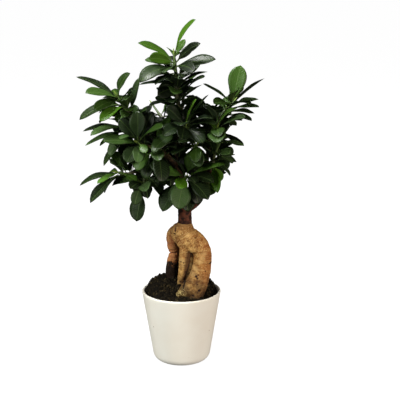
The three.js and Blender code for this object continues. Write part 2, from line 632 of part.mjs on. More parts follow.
/** The further leaves wind up the stem, shorter and more upright towards its tip. */
function windingLeaves(stations, count, draw) {
  const leaves = [];
  for (let i = 0; i < count; i++) {
    const share = MORE_FROM + (MORE_SPAN * (i + 0.5)) / count;
    const { at, ahead } = pointAlong(stations, share);
    const level = ahead.clone().cross(UP).normalize();
    const above = level.clone().cross(ahead);
    const around = rad(i * GOLDEN_ANGLE + lerp(-MORE_STRAY, MORE_STRAY, draw()));
    const lean = rad(lerp(...MORE_LEAN, share) + lerp(-MORE_STRAY, MORE_STRAY, draw()) / 2);
    const length = lerp(...MORE_LENGTH, share) * lerp(...MORE_STRETCH, draw());
    const chord = ahead.clone().multiplyScalar(Math.cos(lean))
      .addScaledVector(level, Math.sin(lean) * Math.sin(around))
      .addScaledVector(above, Math.sin(lean) * Math.cos(around))
      .multiplyScalar(length);
    const width = length * lerp(...MORE_RATIO, draw());
    const arch = lerp(...MORE_ARCH, draw());
    const front = lerp(...MORE_FRONT, draw());
    leaves.push({ base: at, tip: at.clone().add(chord), width, arch, front });
  }
  return leaves;
}

function makeShoots(finish) {
  const names = Object.keys(SHOOTS);
  const stems = {};
  for (const name of names) stems[name] = stationsAlong(shootRow(name), SHOOT_SPACING);
  const rows = [...Object.values(ROOTS), ...Object.values(BRANCHES), ...names.map(shootRow)];
  const wood = rows.flatMap((row) => stationsAlong(row, TEST_SPACING));
  for (const stem of Object.values(stems)) {
    const [last, tip] = [stem[stem.length - 1].at, budTip(stem).at];
    for (const share of TEST_BUD) {
      wood.push({ at: last.clone().lerp(tip, share), radius: SHOOT_TIP_RADIUS });
    }
  }
  const room = { taken: [], wood, channels: [] };
  const placed = Object.fromEntries(names.map((name) => [name, []]));
  for (const name of names) {
    for (const [share, x, y, z, width, arch, front] of SHOOTS[name].leaves) {
      const base = pointAlong(stems[name], share).at;
      placed[name].push(settle({ base, tip: new THREE.Vector3(x, y, z), width, arch, front }, room));
    }
  }
  room.channels = CHANNELS;
  const draw = randomFrom(SEED);
  for (const name of names) {
    const leaves = windingLeaves(stems[name], SHOOTS[name].more, draw);
    for (const leaf of leaves) placed[name].push(settle(leaf, room));
  }
  return names.map((name) => {
    const leaves = placed[name].filter((leaf) => leaf);
    const stem = tube([...stems[name], budTip(stems[name])], SHOOT_SIDES);
    return meshOf("shoot_" + name, leaves.reduce((all, leaf) => all.add(leafSolid(leaf)), stem), finish);
  });
}

// The whole plant in its pot

const potFinish = new THREE.MeshStandardMaterial({ color: 0xecebe3, roughness: 0.22, metalness: 0 });
const soilFinish = new THREE.MeshStandardMaterial({ color: 0x241a13, roughness: 0.97, metalness: 0 });
const barkFinish = new THREE.MeshStandardMaterial({ color: 0xa58a66, roughness: 0.82, metalness: 0 });
const woodFinish = new THREE.MeshStandardMaterial({ color: 0x3a2019, roughness: 0.75, metalness: 0 });
const leafFinish = new THREE.MeshStandardMaterial({ color: 0x24451f, roughness: 0.35, metalness: 0 });

const group = new THREE.Group();
group.add(makePot(potFinish));
group.add(makeSoil(rootHoles(), soilFinish));
group.add(makeRootstock(barkFinish));
const branches = Object.values(BRANCHES).map((row) => {
  return tube(stationsAlong(row, BRANCH_SPACING), BRANCH_SIDES);
});
group.add(meshOf("grafted_wood", branches.reduce((all, solid) => all.add(solid)), woodFinish));
for (const shoot of makeShoots(leafFinish)) group.add(shoot);

export default group;
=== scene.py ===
# %% [markdown]
# A ginseng ficus is two plants grown into one: swollen roots of a seedling, lifted out of the soil for show,
# and a bushy, small-leaved top grafted onto them. It stands in a plain white glazed pot.
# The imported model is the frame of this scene. It says in metres where every piece goes, so each finished
# piece here stands where its solid stands.

# %% Load the frame
import math

import bpy
import numpy as np
from mathutils import Matrix, Vector, noise


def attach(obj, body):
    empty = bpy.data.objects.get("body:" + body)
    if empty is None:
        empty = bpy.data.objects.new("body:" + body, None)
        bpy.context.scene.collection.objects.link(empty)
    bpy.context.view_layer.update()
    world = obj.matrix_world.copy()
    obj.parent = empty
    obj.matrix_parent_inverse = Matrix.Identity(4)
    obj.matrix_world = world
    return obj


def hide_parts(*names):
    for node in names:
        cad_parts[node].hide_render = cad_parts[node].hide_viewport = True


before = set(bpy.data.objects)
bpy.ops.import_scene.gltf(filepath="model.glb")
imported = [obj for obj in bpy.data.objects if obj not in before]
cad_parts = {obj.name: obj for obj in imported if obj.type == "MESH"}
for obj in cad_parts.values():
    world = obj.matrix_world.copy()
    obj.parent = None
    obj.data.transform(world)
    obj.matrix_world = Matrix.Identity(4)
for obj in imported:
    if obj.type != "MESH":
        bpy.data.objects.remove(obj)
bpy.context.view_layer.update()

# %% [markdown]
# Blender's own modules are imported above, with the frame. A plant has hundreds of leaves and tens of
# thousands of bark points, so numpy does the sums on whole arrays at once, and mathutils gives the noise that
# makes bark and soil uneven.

MM = 0.001
UP = np.array([0.0, 0.0, 1.0])

# %% [markdown]
# The photograph looks slightly down on the plant with a long lens, from well back, so the pot's rim shows
# as a thin oval. The same view comes from a camera that stands back along Y and high up, is turned about a
# degree to its right, and looks down by 13.5 degrees.

# %% Camera
CAMERA_BACK, CAMERA_HEIGHT = 1.421, 0.591
CAMERA_TURN, CAMERA_PITCH = -1.139, -13.5
SENSOR = 36.0
LENS = 981 / 400 * SENSOR

camera_data = bpy.data.cameras.new("camera")
camera_data.sensor_width = SENSOR
camera_data.lens = LENS
camera_data.clip_start, camera_data.clip_end = 0.05, 100
camera = bpy.data.objects.new("camera", camera_data)
bpy.context.collection.objects.link(camera)
camera.matrix_world = (
    Matrix.Translation((0, -CAMERA_BACK, CAMERA_HEIGHT))
    @ Matrix.Rotation(math.radians(CAMERA_TURN), 4, "Z")
    @ Matrix.Rotation(math.radians(90 + CAMERA_PITCH), 4, "X")
)
bpy.context.scene.camera = camera
print("camera at", [round(v, 3) for v in camera.location], "lens", round(LENS, 1))

# %% [markdown]
# Node trees get long when each link is written out. One small class keeps them readable: it wraps a socket,
# so that sums and products of sockets and numbers add the Math nodes by themselves. A sum with a vector adds
# a Vector Math node instead, because a Math node would drop two of its three numbers. Every other node comes
# from the one method "node", which takes the node's type, its settings, and what goes into its sockets.

# %% A socket that does sums
MIX_FACTOR, MIX_ZERO, MIX_ONE, MIX_RESULT = 0, 6, 7, 2


class Socket:
    """One output of a node in a shader or geometry tree, or a bare tree to start from."""

    def __init__(self, tree, output=None):
        """Without an output, it only stands for its tree."""
        self.tree, self.output = tree, output

    def node(self, kind, settings=None, sockets=None, out=0):
        """Adds a node and gives one of its outputs. A list of sockets goes into one join socket."""
        node = self.tree.nodes.new(kind)
        for name, value in (settings or {}).items():
            if name == "stops":
                ramp = node.color_ramp.elements
                while len(ramp) < len(value):
                    ramp.new(0.5)
                for stop, (place, colour) in zip(ramp, value):
                    stop.position, stop.color = place, (*colour, 1)
            else:
                setattr(node, name, value)
        for key, value in (sockets or {}).items():
            into = self._found(node.inputs, key)
            for one in value if isinstance(value, list) else [value]:
                if isinstance(one, Socket):
                    self.tree.links.new(one.output, into)
                else:
                    into.default_value = one
        return Socket(self.tree, self._found(node.outputs, out))

    @staticmethod
    def _found(sockets, key):
        """The socket with this number, or the first with this name that is in use."""
        if isinstance(key, int):
            return sockets[key]
        return next(s for s in sockets if s.name == key and s.enabled)

    def _join(self, operation, first, second):
        """A Math node, or a Vector Math node where a vector is among the two."""
        pair = [isinstance(one, Socket) and one.output.type == "VECTOR" for one in (first, second)]
        if any(pair) and operation == "MULTIPLY":
            vector, number = (first, second) if pair[0] else (second, first)
            scaled = {"Vector": vector, "Scale": number}
            return self.node("ShaderNodeVectorMath", {"operation": "SCALE"}, scaled)
        kind = "ShaderNodeVectorMath" if any(pair) else "ShaderNodeMath"
        return self.node(kind, {"operation": operation}, {0: first, 1: second})

    def __add__(self, other):
        return self._join("ADD", self, other)

    __radd__ = __add__

    def __sub__(self, other):
        return self._join("SUBTRACT", self, other)

    def __rsub__(self, other):
        return self._join("SUBTRACT", other, self)

    def __mul__(self, other):
        return self._join("MULTIPLY", self, other)

    __rmul__ = __mul__

    def __truediv__(self, other):
        return self._join("DIVIDE", self, other)

    def __pow__(self, other):
        return self._join("POWER", self, other)

    def math(self, operation, other=0.0):
        """This value through another operation of the Math node, such as SINE or MAXIMUM."""
        return self._join(operation, self, other)

    def turn(self, operation, other=(0, 0, 0), out=0):
        """This vector through an operation of the Vector Math node, such as CROSS_PRODUCT."""
        return self.node("ShaderNodeVectorMath", {"operation": operation}, {0: self, 1: other}, out)

    def ease(self, low, high):
        """0 below "low", 1 above "high", and a smooth step between them."""
        settings = {"interpolation_type": "SMOOTHSTEP"}
        return self.node("ShaderNodeMapRange", settings, {"Value": self, "From Min": low, "From Max": high})

    def mix(self, zero, one):
        """A colour that goes from "zero" to "one" as this value goes from 0 to 1."""
        ends = {MIX_FACTOR: self, MIX_ZERO: rgba(zero), MIX_ONE: rgba(one)}
        return self.node("ShaderNodeMix", {"data_type": "RGBA", "clamp_factor": True}, ends, MIX_RESULT)


def rgba(colour):
    """A colour of three numbers gets its fourth; a socket stays as it is."""
    return colour if isinstance(colour, Socket) else (*colour, 1)


# %% [markdown]
# Every finish here is one Principled shader. What changes over the surface is linked to it, and a number
# that is the same everywhere is set on the shader itself, because only that survives the export. A pattern
# reads Object coordinates, so that it lies still on its piece, or a value that the mesh carries.

# %% Start of a material
def new_material(name, **fixed):
    """A material with a Principled shader: gives the material, its shader node and a socket to build from."""
    material = bpy.data.materials.new(name)
    material.use_nodes = True
    tree = material.node_tree
    shader = tree.nodes["Principled BSDF"]
    for key, value in fixed.items():
        shader.inputs[key.replace("_", " ")].default_value = value
    return material, shader, Socket(tree)


def feed(shader, name, value):
    """Links a socket to one input of the shader."""
    value.tree.links.new(value.output, shader.inputs[name])


def object_place(start):
    """Where a point of the surface is on its piece, in metres."""
    return start.node("ShaderNodeTexCoord", out="Object")


def part_of(vector, axis):
    """The X, Y or Z of a vector."""
    return vector.node("ShaderNodeSeparateXYZ", None, {"Vector": vector}, axis)


def grain(start, place, scale, detail, roughness=0.5):
    """Noise at a place, from 0 to 1."""
    sockets = {"Vector": place, "Scale": scale, "Detail": detail, "Roughness": roughness}
    return start.node("ShaderNodeTexNoise", None, sockets, "Fac")


def stored(start, name):
    """A value that each point or face of the mesh carries."""
    return start.node("ShaderNodeAttribute", {"attribute_name": name}, None, "Fac")


def bump(start, height, distance, strength):
    """Small relief from a height, up to "distance" metres deep."""
    sockets = {"Height": height, "Distance": distance, "Strength": strength}
    return start.node("ShaderNodeBump", None, sockets, "Normal")


# %% [markdown]
# All that grows here, roots, branches and stems, is a tapering tube along a smooth curve. The curve goes
# through a few points that were read off the plant, each with its radius. A Catmull-Rom curve suits this,
# because it passes through its points. The rule is the one that made the solids, so the two agree.

# %% Points along a curve
def lerp(low, high, share):
    """From "low" to "high" as the share goes from 0 to 1."""
    return low + (high - low) * share


def unit(vectors):
    """The vectors at a length of 1."""
    return vectors / np.linalg.norm(vectors, axis=-1, keepdims=True)


def stations_along(row, spacing):
    """Places, radii and directions along a row of (x, y, z, radius), on one smooth curve."""
    row = np.array(row, float)
    points = np.vstack([2 * row[0] - row[1], row, 2 * row[-1] - row[-2]])[:, :3]
    at, radius = [], []
    for i in range(len(row) - 1):
        before, start, end, after = points[i:i + 4]
        out, into = (end - before) / 2, (after - start) / 2
        steps = max(1, math.floor(np.linalg.norm(end - start) / spacing + 0.5))
        for j in range(steps):
            t = j / steps
            at.append(start + out * t
                      + (3 * (end - start) - 2 * out - into) * t ** 2
                      + (2 * (start - end) + out + into) * t ** 3)
            radius.append(lerp(row[i][3], row[i + 1][3], t))
    at, radius = np.array([*at, row[-1][:3]]), np.array([*radius, row[-1][3]])
    ahead = np.empty_like(at)
    ahead[1:-1] = at[2:] - at[:-2]
    ahead[0], ahead[-1] = row[1][:3] - row[0][:3], row[-1][:3] - row[-2][:3]
    return at, radius, unit(ahead)


# %% [markdown]
# A tube is rings of points joined by faces. Each ring's zero direction is carried over from the ring before,
# so the tube doesn't twist. Its ends are closed by a fan of triangles, which keeps every piece a closed skin.

# %% Tubes
def circle(sides):
    """Directions round a circle, in radians."""
    return np.arange(sides) * 2 * math.pi / sides


def tube(at, radius, ahead, sides):
    """Points and faces of a closed tube, in the units of its places."""
    across = np.array([0.0, 1, 0]) if abs(ahead[0][0]) > 0.9 else np.array([1.0, 0, 0])
    turns = circle(sides)
    points = []
    for place, reach, forward in zip(at, radius, ahead):
        across = unit(across - forward * across.dot(forward))
        second = np.cross(forward, across)
        points.append(place + reach * (np.cos(turns)[:, None] * across + np.sin(turns)[:, None] * second))
    points = np.vstack([*points, at[:1], at[-1:]])
    last = (len(at) - 1) * sides
    faces = []
    for j in range(sides):
        k = (j + 1) % sides
        faces += [(i + j, i + k, i + k + sides, i + j + sides) for i in range(0, last, sides)]
        faces += [(len(points) - 2, k, j), (len(points) - 1, last + j, last + k)]
    return points, faces


def mesh_of(name, parts):
    """One mesh, in metres, from several (points, faces) in millimetres."""
    points, faces = [], []
    for some, joined in parts:
        shift = sum(len(p) for p in points)
        points.append(some)
        faces += [tuple(i + shift for i in face) for face in joined]
    mesh = bpy.data.meshes.new(name)
    mesh.from_pydata(np.vstack(points) * MM, [], faces)
    mesh.shade_smooth()
    return mesh


def show(name, mesh):
    """Puts a mesh into the scene as an object."""
    piece = bpy.data.objects.new(name, mesh)
    bpy.context.collection.objects.link(piece)
    return piece


def carry(mesh, name, values, kind="FLOAT"):
    """Stores one value, or one vector, on each point of a mesh."""
    values = np.asarray(values, np.float32)
    key = "vector" if kind == "FLOAT_VECTOR" else "value"
    mesh.attributes.new(name, kind, "POINT").data.foreach_set(key, values.ravel())


def settled(piece):
    """The piece with its modifiers applied, as a plain mesh."""
    bpy.context.view_layer.update()
    graph = bpy.context.evaluated_depsgraph_get()
    result = piece.evaluated_get(graph)
    mesh = bpy.data.meshes.new_from_object(result, preserve_all_data_layers=True, depsgraph=graph)
    piece.modifiers.clear()
    piece.data = mesh
    return piece


# %% [markdown]
# The pot is thrown or cast: a straight tapered wall with a rounded foot edge and a round lip, glazed all
# over. A profile turned about the axis is how a potter makes it, and it is the simplest way here too. The
# wall's points come from the sizes of the solid, only with many more steps round the curves.

# %% The pot's shape
POT_HEIGHT, POT_RIM, POT_FOOT = 110.0, 60.0, 42.0
POT_FOOT_ROUND, POT_WALL, POT_FLOOR = 13.0, 3.6, 5.0
POT_LEAN = (POT_RIM - POT_FOOT) / POT_HEIGHT
POT_SLANT = math.hypot(1, POT_LEAN)
POT_SIDES = 160
ARC_STEPS, WALL_STEPS, INSIDE_STEPS = 12, 16, 10
BELOW_LIP = 6.0
UNDERSIDE_RINGS = (0.5, 0.85)


def inner_radius(height):
    """From the axis to the inside of the pot's wall."""
    return POT_FOOT + POT_LEAN * height - POT_WALL * POT_SLANT


def arc(centre, radius, start, end):
    """Points of a profile along an arc."""
    turns = np.linspace(start, end, ARC_STEPS)
    return [(centre[0] + radius * math.cos(t), centre[1] + radius * math.sin(t)) for t in turns]


def make_pot():
    """The whole profile, from underneath over the lip to the floor inside, turned about the axis."""
    lean = math.atan(POT_LEAN)
    foot = POT_FOOT + POT_LEAN * POT_FOOT_ROUND - POT_FOOT_ROUND * POT_SLANT
    lip = POT_WALL / 2
    lip_centre = POT_RIM - lip * POT_SLANT - POT_LEAN * lip
    outer = arc((foot, POT_FOOT_ROUND), POT_FOOT_ROUND, -math.pi / 2, -lean)
    round_lip = arc((lip_centre, POT_HEIGHT - lip), lip, -lean, math.pi - lean)
    wall = [(lerp(outer[-1][0], round_lip[0][0], t), lerp(outer[-1][1], round_lip[0][1], t))
            for t in np.linspace(0, 1, WALL_STEPS)[1:-1]]
    inside = [(inner_radius(z), z) for z in np.linspace(POT_HEIGHT - BELOW_LIP, POT_FLOOR, INSIDE_STEPS)]
    base = [(foot * share, 0) for share in UNDERSIDE_RINGS]
    profile = np.array(base + outer + wall + round_lip + inside)
    turns = circle(POT_SIDES)
    rings = [np.column_stack([r * np.cos(turns), r * np.sin(turns), np.full(POT_SIDES, z)])
             for r, z in profile]
    points = np.vstack([*rings, [[0, 0, 0]], [[0, 0, POT_FLOOR]]])
    faces = []
    for j in range(POT_SIDES):
        k = (j + 1) % POT_SIDES
        for i in range(len(profile) - 1):
            a, b = i * POT_SIDES + j, i * POT_SIDES + k
            faces.append((a, b, b + POT_SIDES, a + POT_SIDES))
        top = (len(profile) - 1) * POT_SIDES
        faces += [(len(points) - 2, k, j), (len(points) - 1, top + j, top + k)]
    return show("pot_glazed", mesh_of("pot_glazed", [(points, faces)]))


pot = make_pot()
print("pot faces:", len(pot.data.polygons))

# %% [markdown]
# White glaze is glassy but not perfect. It lies a little thicker in places, which a very low bump gives, it
# is a touch cream, and a few dark specks of the clay show through it. Voronoi cells give the specks: only
# the few cells whose random number is high get one, each of its own strength.

# %% Glaze
def make_glaze():
    """Cream white glaze with a few dark specks."""
    material, shader, start = new_material("white_glaze", Coat_Roughness=0.2, Specular_IOR_Level=0.3)
    place = object_place(start)
    cloud = grain(start, place, 22.0, 3.0)
    waves = grain(start, place, 60.0, 2.0)
    cell = {"Vector": place, "Scale": 95.0}
    far = start.node("ShaderNodeTexVoronoi", None, cell, "Distance")
    pick = start.node("ShaderNodeTexVoronoi", None, cell, "Color")
    chance = start.node("ShaderNodeSeparateColor", None, {"Color": pick}, "Red")
    speck = (1 - far.ease(0.035, 0.11)) * chance.ease(0.86, 0.95)
    body = cloud.ease(0.3, 0.7).mix((0.87, 0.84, 0.745), (0.90, 0.885, 0.80))
    feed(shader, "Base Color", speck.mix(body, (0.30, 0.20, 0.13)))
    feed(shader, "Roughness", 0.36 + 0.16 * waves)
    feed(shader, "Coat Weight", 0.08 + 0.1 * cloud)
    feed(shader, "Normal", bump(start, waves, 0.0004, 0.35))
    return material


pot.data.materials.append(make_glaze())
print("glaze:", pot.data.materials[0].name)
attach(pot, "root")
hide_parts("pot")

# %% [markdown]
# Potting soil is heaped behind the roots and round the left one, and lies a finger's breadth under the rim
# in front. Its level follows the same rule as the solid, on rings that run out to the pot's wall. Finer
# lumps from noise are added, and some loose heaps, each with its place, height and reach. Below, a plain
# body closes it.

# %% The soil's surface
SOIL_EDGE = 103.0
DOME_Y, DOME_HEIGHT, DOME_REACH = 10.0, 11.0, 64.0
MOUND_X, MOUND_Y, MOUND_HEIGHT = -18.0, 12.0, 17.0
MOUND_LEFT, MOUND_RIGHT, MOUND_DEPTH = 25.0, 17.0, 19.0
SOIL_LUMP = 1.1
SOIL_CLEAR = 0.6
SOIL_HEAPS = [(-51, 12, 11.0, 11), (-36, 16, 3.0, 12), (45, 21, 15.0, 12), (-4, -17, 6.5, 7)]
SOIL_SIDES, SOIL_RINGS = 132, 40
TOUCH = 0.3
LEVEL_AT_WALL, HEAP_AT_WALL, ROUGH_AT_WALL = 13.0, 5.0, 0.35
SOIL_ROUGHNESS = [(1.5, 7.0, 0), (0.8, 2.6, 40), (0.4, 1.3, 90)]


def soil_level(x, y):
    """The height of the soil by the rule of the solid."""
    dome = 1 - (x ** 2 + (y - DOME_Y) ** 2) / DOME_REACH ** 2
    side = np.where(x < MOUND_X, MOUND_LEFT, MOUND_RIGHT)
    away = ((x - MOUND_X) / side) ** 2 + ((y - MOUND_Y) / MOUND_DEPTH) ** 2
    lumps = np.sin(0.55 * x + 1) * np.cos(0.47 * y) + 0.7 * np.sin(0.31 * x - 0.52 * y)
    return (SOIL_EDGE + DOME_HEIGHT * np.maximum(0, dome) + MOUND_HEIGHT * np.exp(-away / 2)
            + SOIL_LUMP * lumps)


def heaps(x, y, inward):
    """Loose soil heaped on top of the level of the solid, lower where it meets the pot's wall."""
    return (0.7 + 0.3 * np.clip(inward / HEAP_AT_WALL, 0, 1)) * sum(
        height * np.exp(-((x - at_x) ** 2 + (y - at_y) ** 2) / reach ** 2)
        for at_x, at_y, height, reach in SOIL_HEAPS)


def noise_at(points, size, shift=0.0):
    """Perlin noise from -1 to 1 at each point, with features about "size" across."""
    return np.array([noise.noise(Vector(p)) for p in np.asarray(points) / size + shift])


def make_soil():
    """Rings of uneven soil, closed below by one ring and a middle point."""
    sides, count = SOIL_SIDES, SOIL_RINGS
    turns = circle(sides)
    edge = inner_radius(SOIL_EDGE) - SOIL_CLEAR
    radii = edge * (np.arange(1, count + 1) / count) ** 0.85
    x, y = np.outer(radii, np.cos(turns)).ravel(), np.outer(radii, np.sin(turns)).ravel()
    top = np.column_stack([x, y, soil_level(x, y)])
    inward = edge - np.hypot(x, y)
    fade = np.clip(inward / LEVEL_AT_WALL, 0, 1) ** 0.8
    rough = sum(height * noise_at(top, size, shift) for height, size, shift in SOIL_ROUGHNESS)
    top[:, 2] = lerp(SOIL_EDGE, top[:, 2], fade) + heaps(x, y, inward) + rough * lerp(ROUGH_AT_WALL, 1, fade)
    low = POT_FLOOR + TOUCH
    reach = inner_radius(low) - SOIL_CLEAR
    base = np.column_stack([reach * np.cos(turns), reach * np.sin(turns), np.full(sides, low)])
    middle = [[0, 0, soil_level(np.zeros(1), np.zeros(1))[0]]]
    points = np.vstack([top, base, middle, [[0, 0, low]]])
    faces = []
    for j in range(sides):
        k = (j + 1) % sides
        for i in range(count):
            a, b = i * sides + j, i * sides + k
            faces.append((a, a + sides, b + sides, b))
        faces += [(len(points) - 2, j, k), (len(points) - 1, count * sides + k, count * sides + j)]
    return show("soil_heap", mesh_of("soil_heap", [(points, faces)]))


soil = make_soil()
print("soil faces:", len(soil.data.polygons))

# %% [markdown]
# Loose crumbs and bits of bark lie on the soil. They repeat, so Geometry Nodes scatter them: points spread
# on the faces that look up, a small lump on each point at a random turn and size, then the lumps are made
# real and pushed about by noise, so that no two keep the same shape. First come the helpers that any tree
# needs.

# %% Helpers for geometry trees
def tree_with(name, inputs):
    """A geometry tree with named inputs: gives the tree, its input sockets and their identifiers."""
    tree = bpy.data.node_groups.new(name, "GeometryNodeTree")
    tree.is_modifier = True
    tree.interface.new_socket("Geometry", in_out="INPUT", socket_type="NodeSocketGeometry")
    tree.interface.new_socket("Geometry", in_out="OUTPUT", socket_type="NodeSocketGeometry")
    keys = {}
    for label, kind in inputs.items():
        socket = tree.interface.new_socket(label, in_out="INPUT", socket_type="NodeSocket" + kind)
        keys[label] = socket.identifier
    entry = tree.nodes.new("NodeGroupInput")
    given = {socket.name: Socket(tree, socket) for socket in entry.outputs if socket.name}
    return tree, given, keys


def finish_tree(start, geometry, material):
    """Every tree ends the same way: instances made real, and one material set."""
    real = start.node("GeometryNodeRealizeInstances", None, {"Geometry": geometry})
    done = start.node("GeometryNodeSetMaterial", None, {"Geometry": real, "Material": material})
    leave = start.tree.nodes.new("NodeGroupOutput")
    start.tree.links.new(done.output, leave.inputs["Geometry"])


def store(start, geometry, name, value, domain="POINT"):
    """Keeps a value on the geometry under a name."""
    return start.node("GeometryNodeStoreNamedAttribute", {"data_type": "FLOAT", "domain": domain},
                      {"Geometry": geometry, "Name": name, "Value": value})


def draw(start, low, high, seed, kind="FLOAT"):
    """A random value for each point or instance."""
    span = {"Min": low, "Max": high, "Seed": seed}
    return start.node("FunctionNodeRandomValue", {"data_type": kind}, span, "Value")


# %% [markdown]
# The tree for the crumbs keeps to faces that look up. Most crumbs are small: a random share raised to the
# third power gives few large ones. Noise then pushes the points of all crumbs about.

# %% The crumbs' tree
LOOKS_UP = 0.35
FULL_TURN = 6.3
NARROWEST = 0.6
PUSH_SCALE = 420.0


def crumb_tree():
    """Lumps on the faces that look up, each turned, sized and toned at random."""
    tree, given, keys = tree_with("crumbs_on_soil", {
        "Density": "Float", "Smallest": "Float", "Largest": "Float", "Flatness": "Float",
        "Lumps": "Float", "Seed": "Int", "Material": "Material"})
    start = given["Geometry"]
    up = start.node("GeometryNodeInputNormal")
    seed, smallest = given["Seed"], given["Smallest"]
    compared = {"A": part_of(up, "Z"), "B": LOOKS_UP}
    upward = start.node("FunctionNodeCompare", {"operation": "GREATER_THAN"}, compared, "Result")
    spread = {"Mesh": start, "Selection": upward, "Density": given["Density"], "Seed": seed}
    points = start.node("GeometryNodeDistributePointsOnFaces", None, spread, "Points")
    lump = start.node("GeometryNodeMeshIcoSphere", None, {"Radius": 1.0, "Subdivisions": 1}, "Mesh")
    turned = draw(start, (0, 0, 0), (FULL_TURN, FULL_TURN, FULL_TURN), seed + 1, "FLOAT_VECTOR")
    size = smallest + (given["Largest"] - smallest) * draw(start, 0.0, 1.0, seed + 2) ** 3
    narrow = size * draw(start, NARROWEST, 1.0, seed + 3)
    flat = start.node("ShaderNodeCombineXYZ", None, {"X": size, "Y": narrow, "Z": size * given["Flatness"]})
    placed = start.node("GeometryNodeInstanceOnPoints", None,
                        {"Points": points, "Instance": lump, "Rotation": turned, "Scale": flat})
    toned = store(start, placed, "tone", draw(start, 0.0, 1.0, seed + 4), domain="INSTANCE")
    real = start.node("GeometryNodeRealizeInstances", None, {"Geometry": toned})
    here = start.node("GeometryNodeInputPosition")
    push = start.node("ShaderNodeTexNoise", None, {"Vector": here, "Scale": PUSH_SCALE}, "Color")
    offset = push.turn("SUBTRACT", (0.5, 0.5, 0.5)) * given["Lumps"]
    pushed = start.node("GeometryNodeSetPosition", None, {"Geometry": real, "Offset": offset})
    finish_tree(start, pushed, given["Material"])
    return tree, keys


crumbs_tree, crumb_keys = crumb_tree()
print("crumb tree nodes:", len(crumbs_tree.nodes))

# %% [markdown]
# Moist peat is nearly black and rough, with paler bits of bark and fibre. Each crumb carries its own tone,
# and the ground under them gets its shade from noise.

# %% Soil finish and crumbs
def make_soil_finish(name, dark, light, toned):
    """Rough peat between two colours, by each crumb's tone or by noise."""
    material, shader, start = new_material(name, Specular_IOR_Level=0.15)
    place = object_place(start)
    fine = grain(start, place, 700.0, 4.0, 0.6)
    broad = grain(start, place, 90.0, 3.0)
    shade = stored(start, "tone") ** 4.0 if toned else broad.ease(0.45, 0.75) * 0.5
    feed(shader, "Base Color", (shade * 0.8 + fine * 0.25).mix(dark, light))
    feed(shader, "Roughness", 0.8 + 0.15 * fine)
    feed(shader, "Normal", bump(start, fine, 0.0008, 0.8))
    return material


peat = make_soil_finish("moist_peat", (0.0026, 0.0019, 0.0010), (0.014, 0.010, 0.005), False)
crumb_peat = make_soil_finish("peat_crumbs", (0.0030, 0.0022, 0.0012), (0.070, 0.052, 0.022), True)
soil.data.materials.append(peat)


def scatter(ground, name, tree, keys, values):
    """Runs a tree over the ground and gives the result as a plain piece."""
    piece = show(name, ground.data.copy())
    modifier = piece.modifiers.new(name, "NODES")
    modifier.node_group = tree
    for label, value in values.items():
        modifier[keys[label]] = value
    return settled(piece)


crumbs = scatter(soil, "soil_crumbs", crumbs_tree, crumb_keys, {
    "Density": 190000.0, "Smallest": 0.5 * MM, "Largest": 2.6 * MM, "Flatness": 0.7, "Lumps": 1.3 * MM,
    "Seed": 3, "Material": crumb_peat})
print("crumb faces:", len(crumbs.data.polygons))
for piece in (soil, crumbs):
    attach(piece, "root")
    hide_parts("soil")

# %% [markdown]
# The rootstock is what makes this plant. Its roots swelled in the nursery, and were then lifted out of the
# soil, so they stand like legs that join in a fat body. Each root is a row of measured points, in
# millimetres: x, y, z and the root's radius there. These are the rows of the solid.

# %% Root rows
GRAFT = 216.3
ROOTS = {
    "neck": [
        (5.7, 0, GRAFT, 10.2), (5.7, 0, 211, 13), (3.4, 1, 203, 18.6), (4.5, 2, 194, 18.5), (8, 2, 184, 14),
        (10, 3, 174, 8)],
    "body": [
        (6, -1, 205, 11.5), (8.5, -2.5, 197, 17), (11, -4, 187, 18.6), (13, -5, 178, 15.5),
        (14, -6, 169, 9)],
    "right": [
        (9, 0, 202, 9), (15, -1, 196, 11.6), (20.5, -2, 189, 13.9), (26.5, -3.5, 179, 15.8),
        (31.2, -5, 166, 14.8), (30.6, -8, 152, 14.6), (28.4, -12, 138, 15), (24, -18, 124, 15.4),
        (19, -23, 109, 13.5), (15, -25, 95, 11), (12, -25, 80, 8)],
    "toe": [
        (25, -14, 134, 13), (17, -21, 121, 13.5), (6, -26, 111, 11.5), (-4, -27, 101, 9.5),
        (-10, -26, 87, 7)],
    "middle": [
        (7, -4, 198, 11), (7, -9, 184, 10.5), (5.8, -11, 172, 8.8), (5.2, -11, 162, 9), (3.6, -10.5, 149, 8),
        (2, -9.5, 134, 7), (0.4, -8.5, 120, 5.6), (-1, -8, 104, 4.6), (-1, -7, 92, 3.8)],
    "left": [
        (-4, 3, 204, 8), (-10.2, 7, 197, 9.2), (-12.6, 9.5, 187, 8.6), (-12.2, 11, 177, 7.8),
        (-10.4, 12.5, 166, 6.3), (-11.2, 12.5, 157, 6.6), (-12, 12, 147, 7.3), (-13, 11, 134, 7.5),
        (-14, 10, 118, 7.2), (-14.5, 9, 102, 5.8), (-15, 9, 88, 4.4)],
    "back": [
        (5, 5, 203, 11), (9, 14, 192, 12), (12, 20, 174, 10.4), (14, 24, 156, 9.6), (14, 27, 139, 9.2),
        (12, 30, 122, 8.6), (10, 32, 107, 7.6), (8, 33, 92, 6)],
    "back_left": [
        (-3, 8, 200, 9), (-4, 18, 187, 7.6), (-4, 25, 167, 5.8), (-6, 29, 146, 5.2), (-8, 32, 126, 5.4),
        (-10, 33, 108, 4.8), (-10, 33, 94, 4)],
}
print("roots:", ", ".join(ROOTS))

# %% [markdown]
# A skin this fine can follow the real roots a little closer than the solid does, within a few millimetres.
# So some roots get rows of their own here: a fuller left root, a middle root and a toe that end in slimmer
# tips, and a belly where the thick root leaves the body. A voxel remesh melts the tubes of all rows into one
# skin, as real roots graft where they touch, and a smooth pass softens the joins.

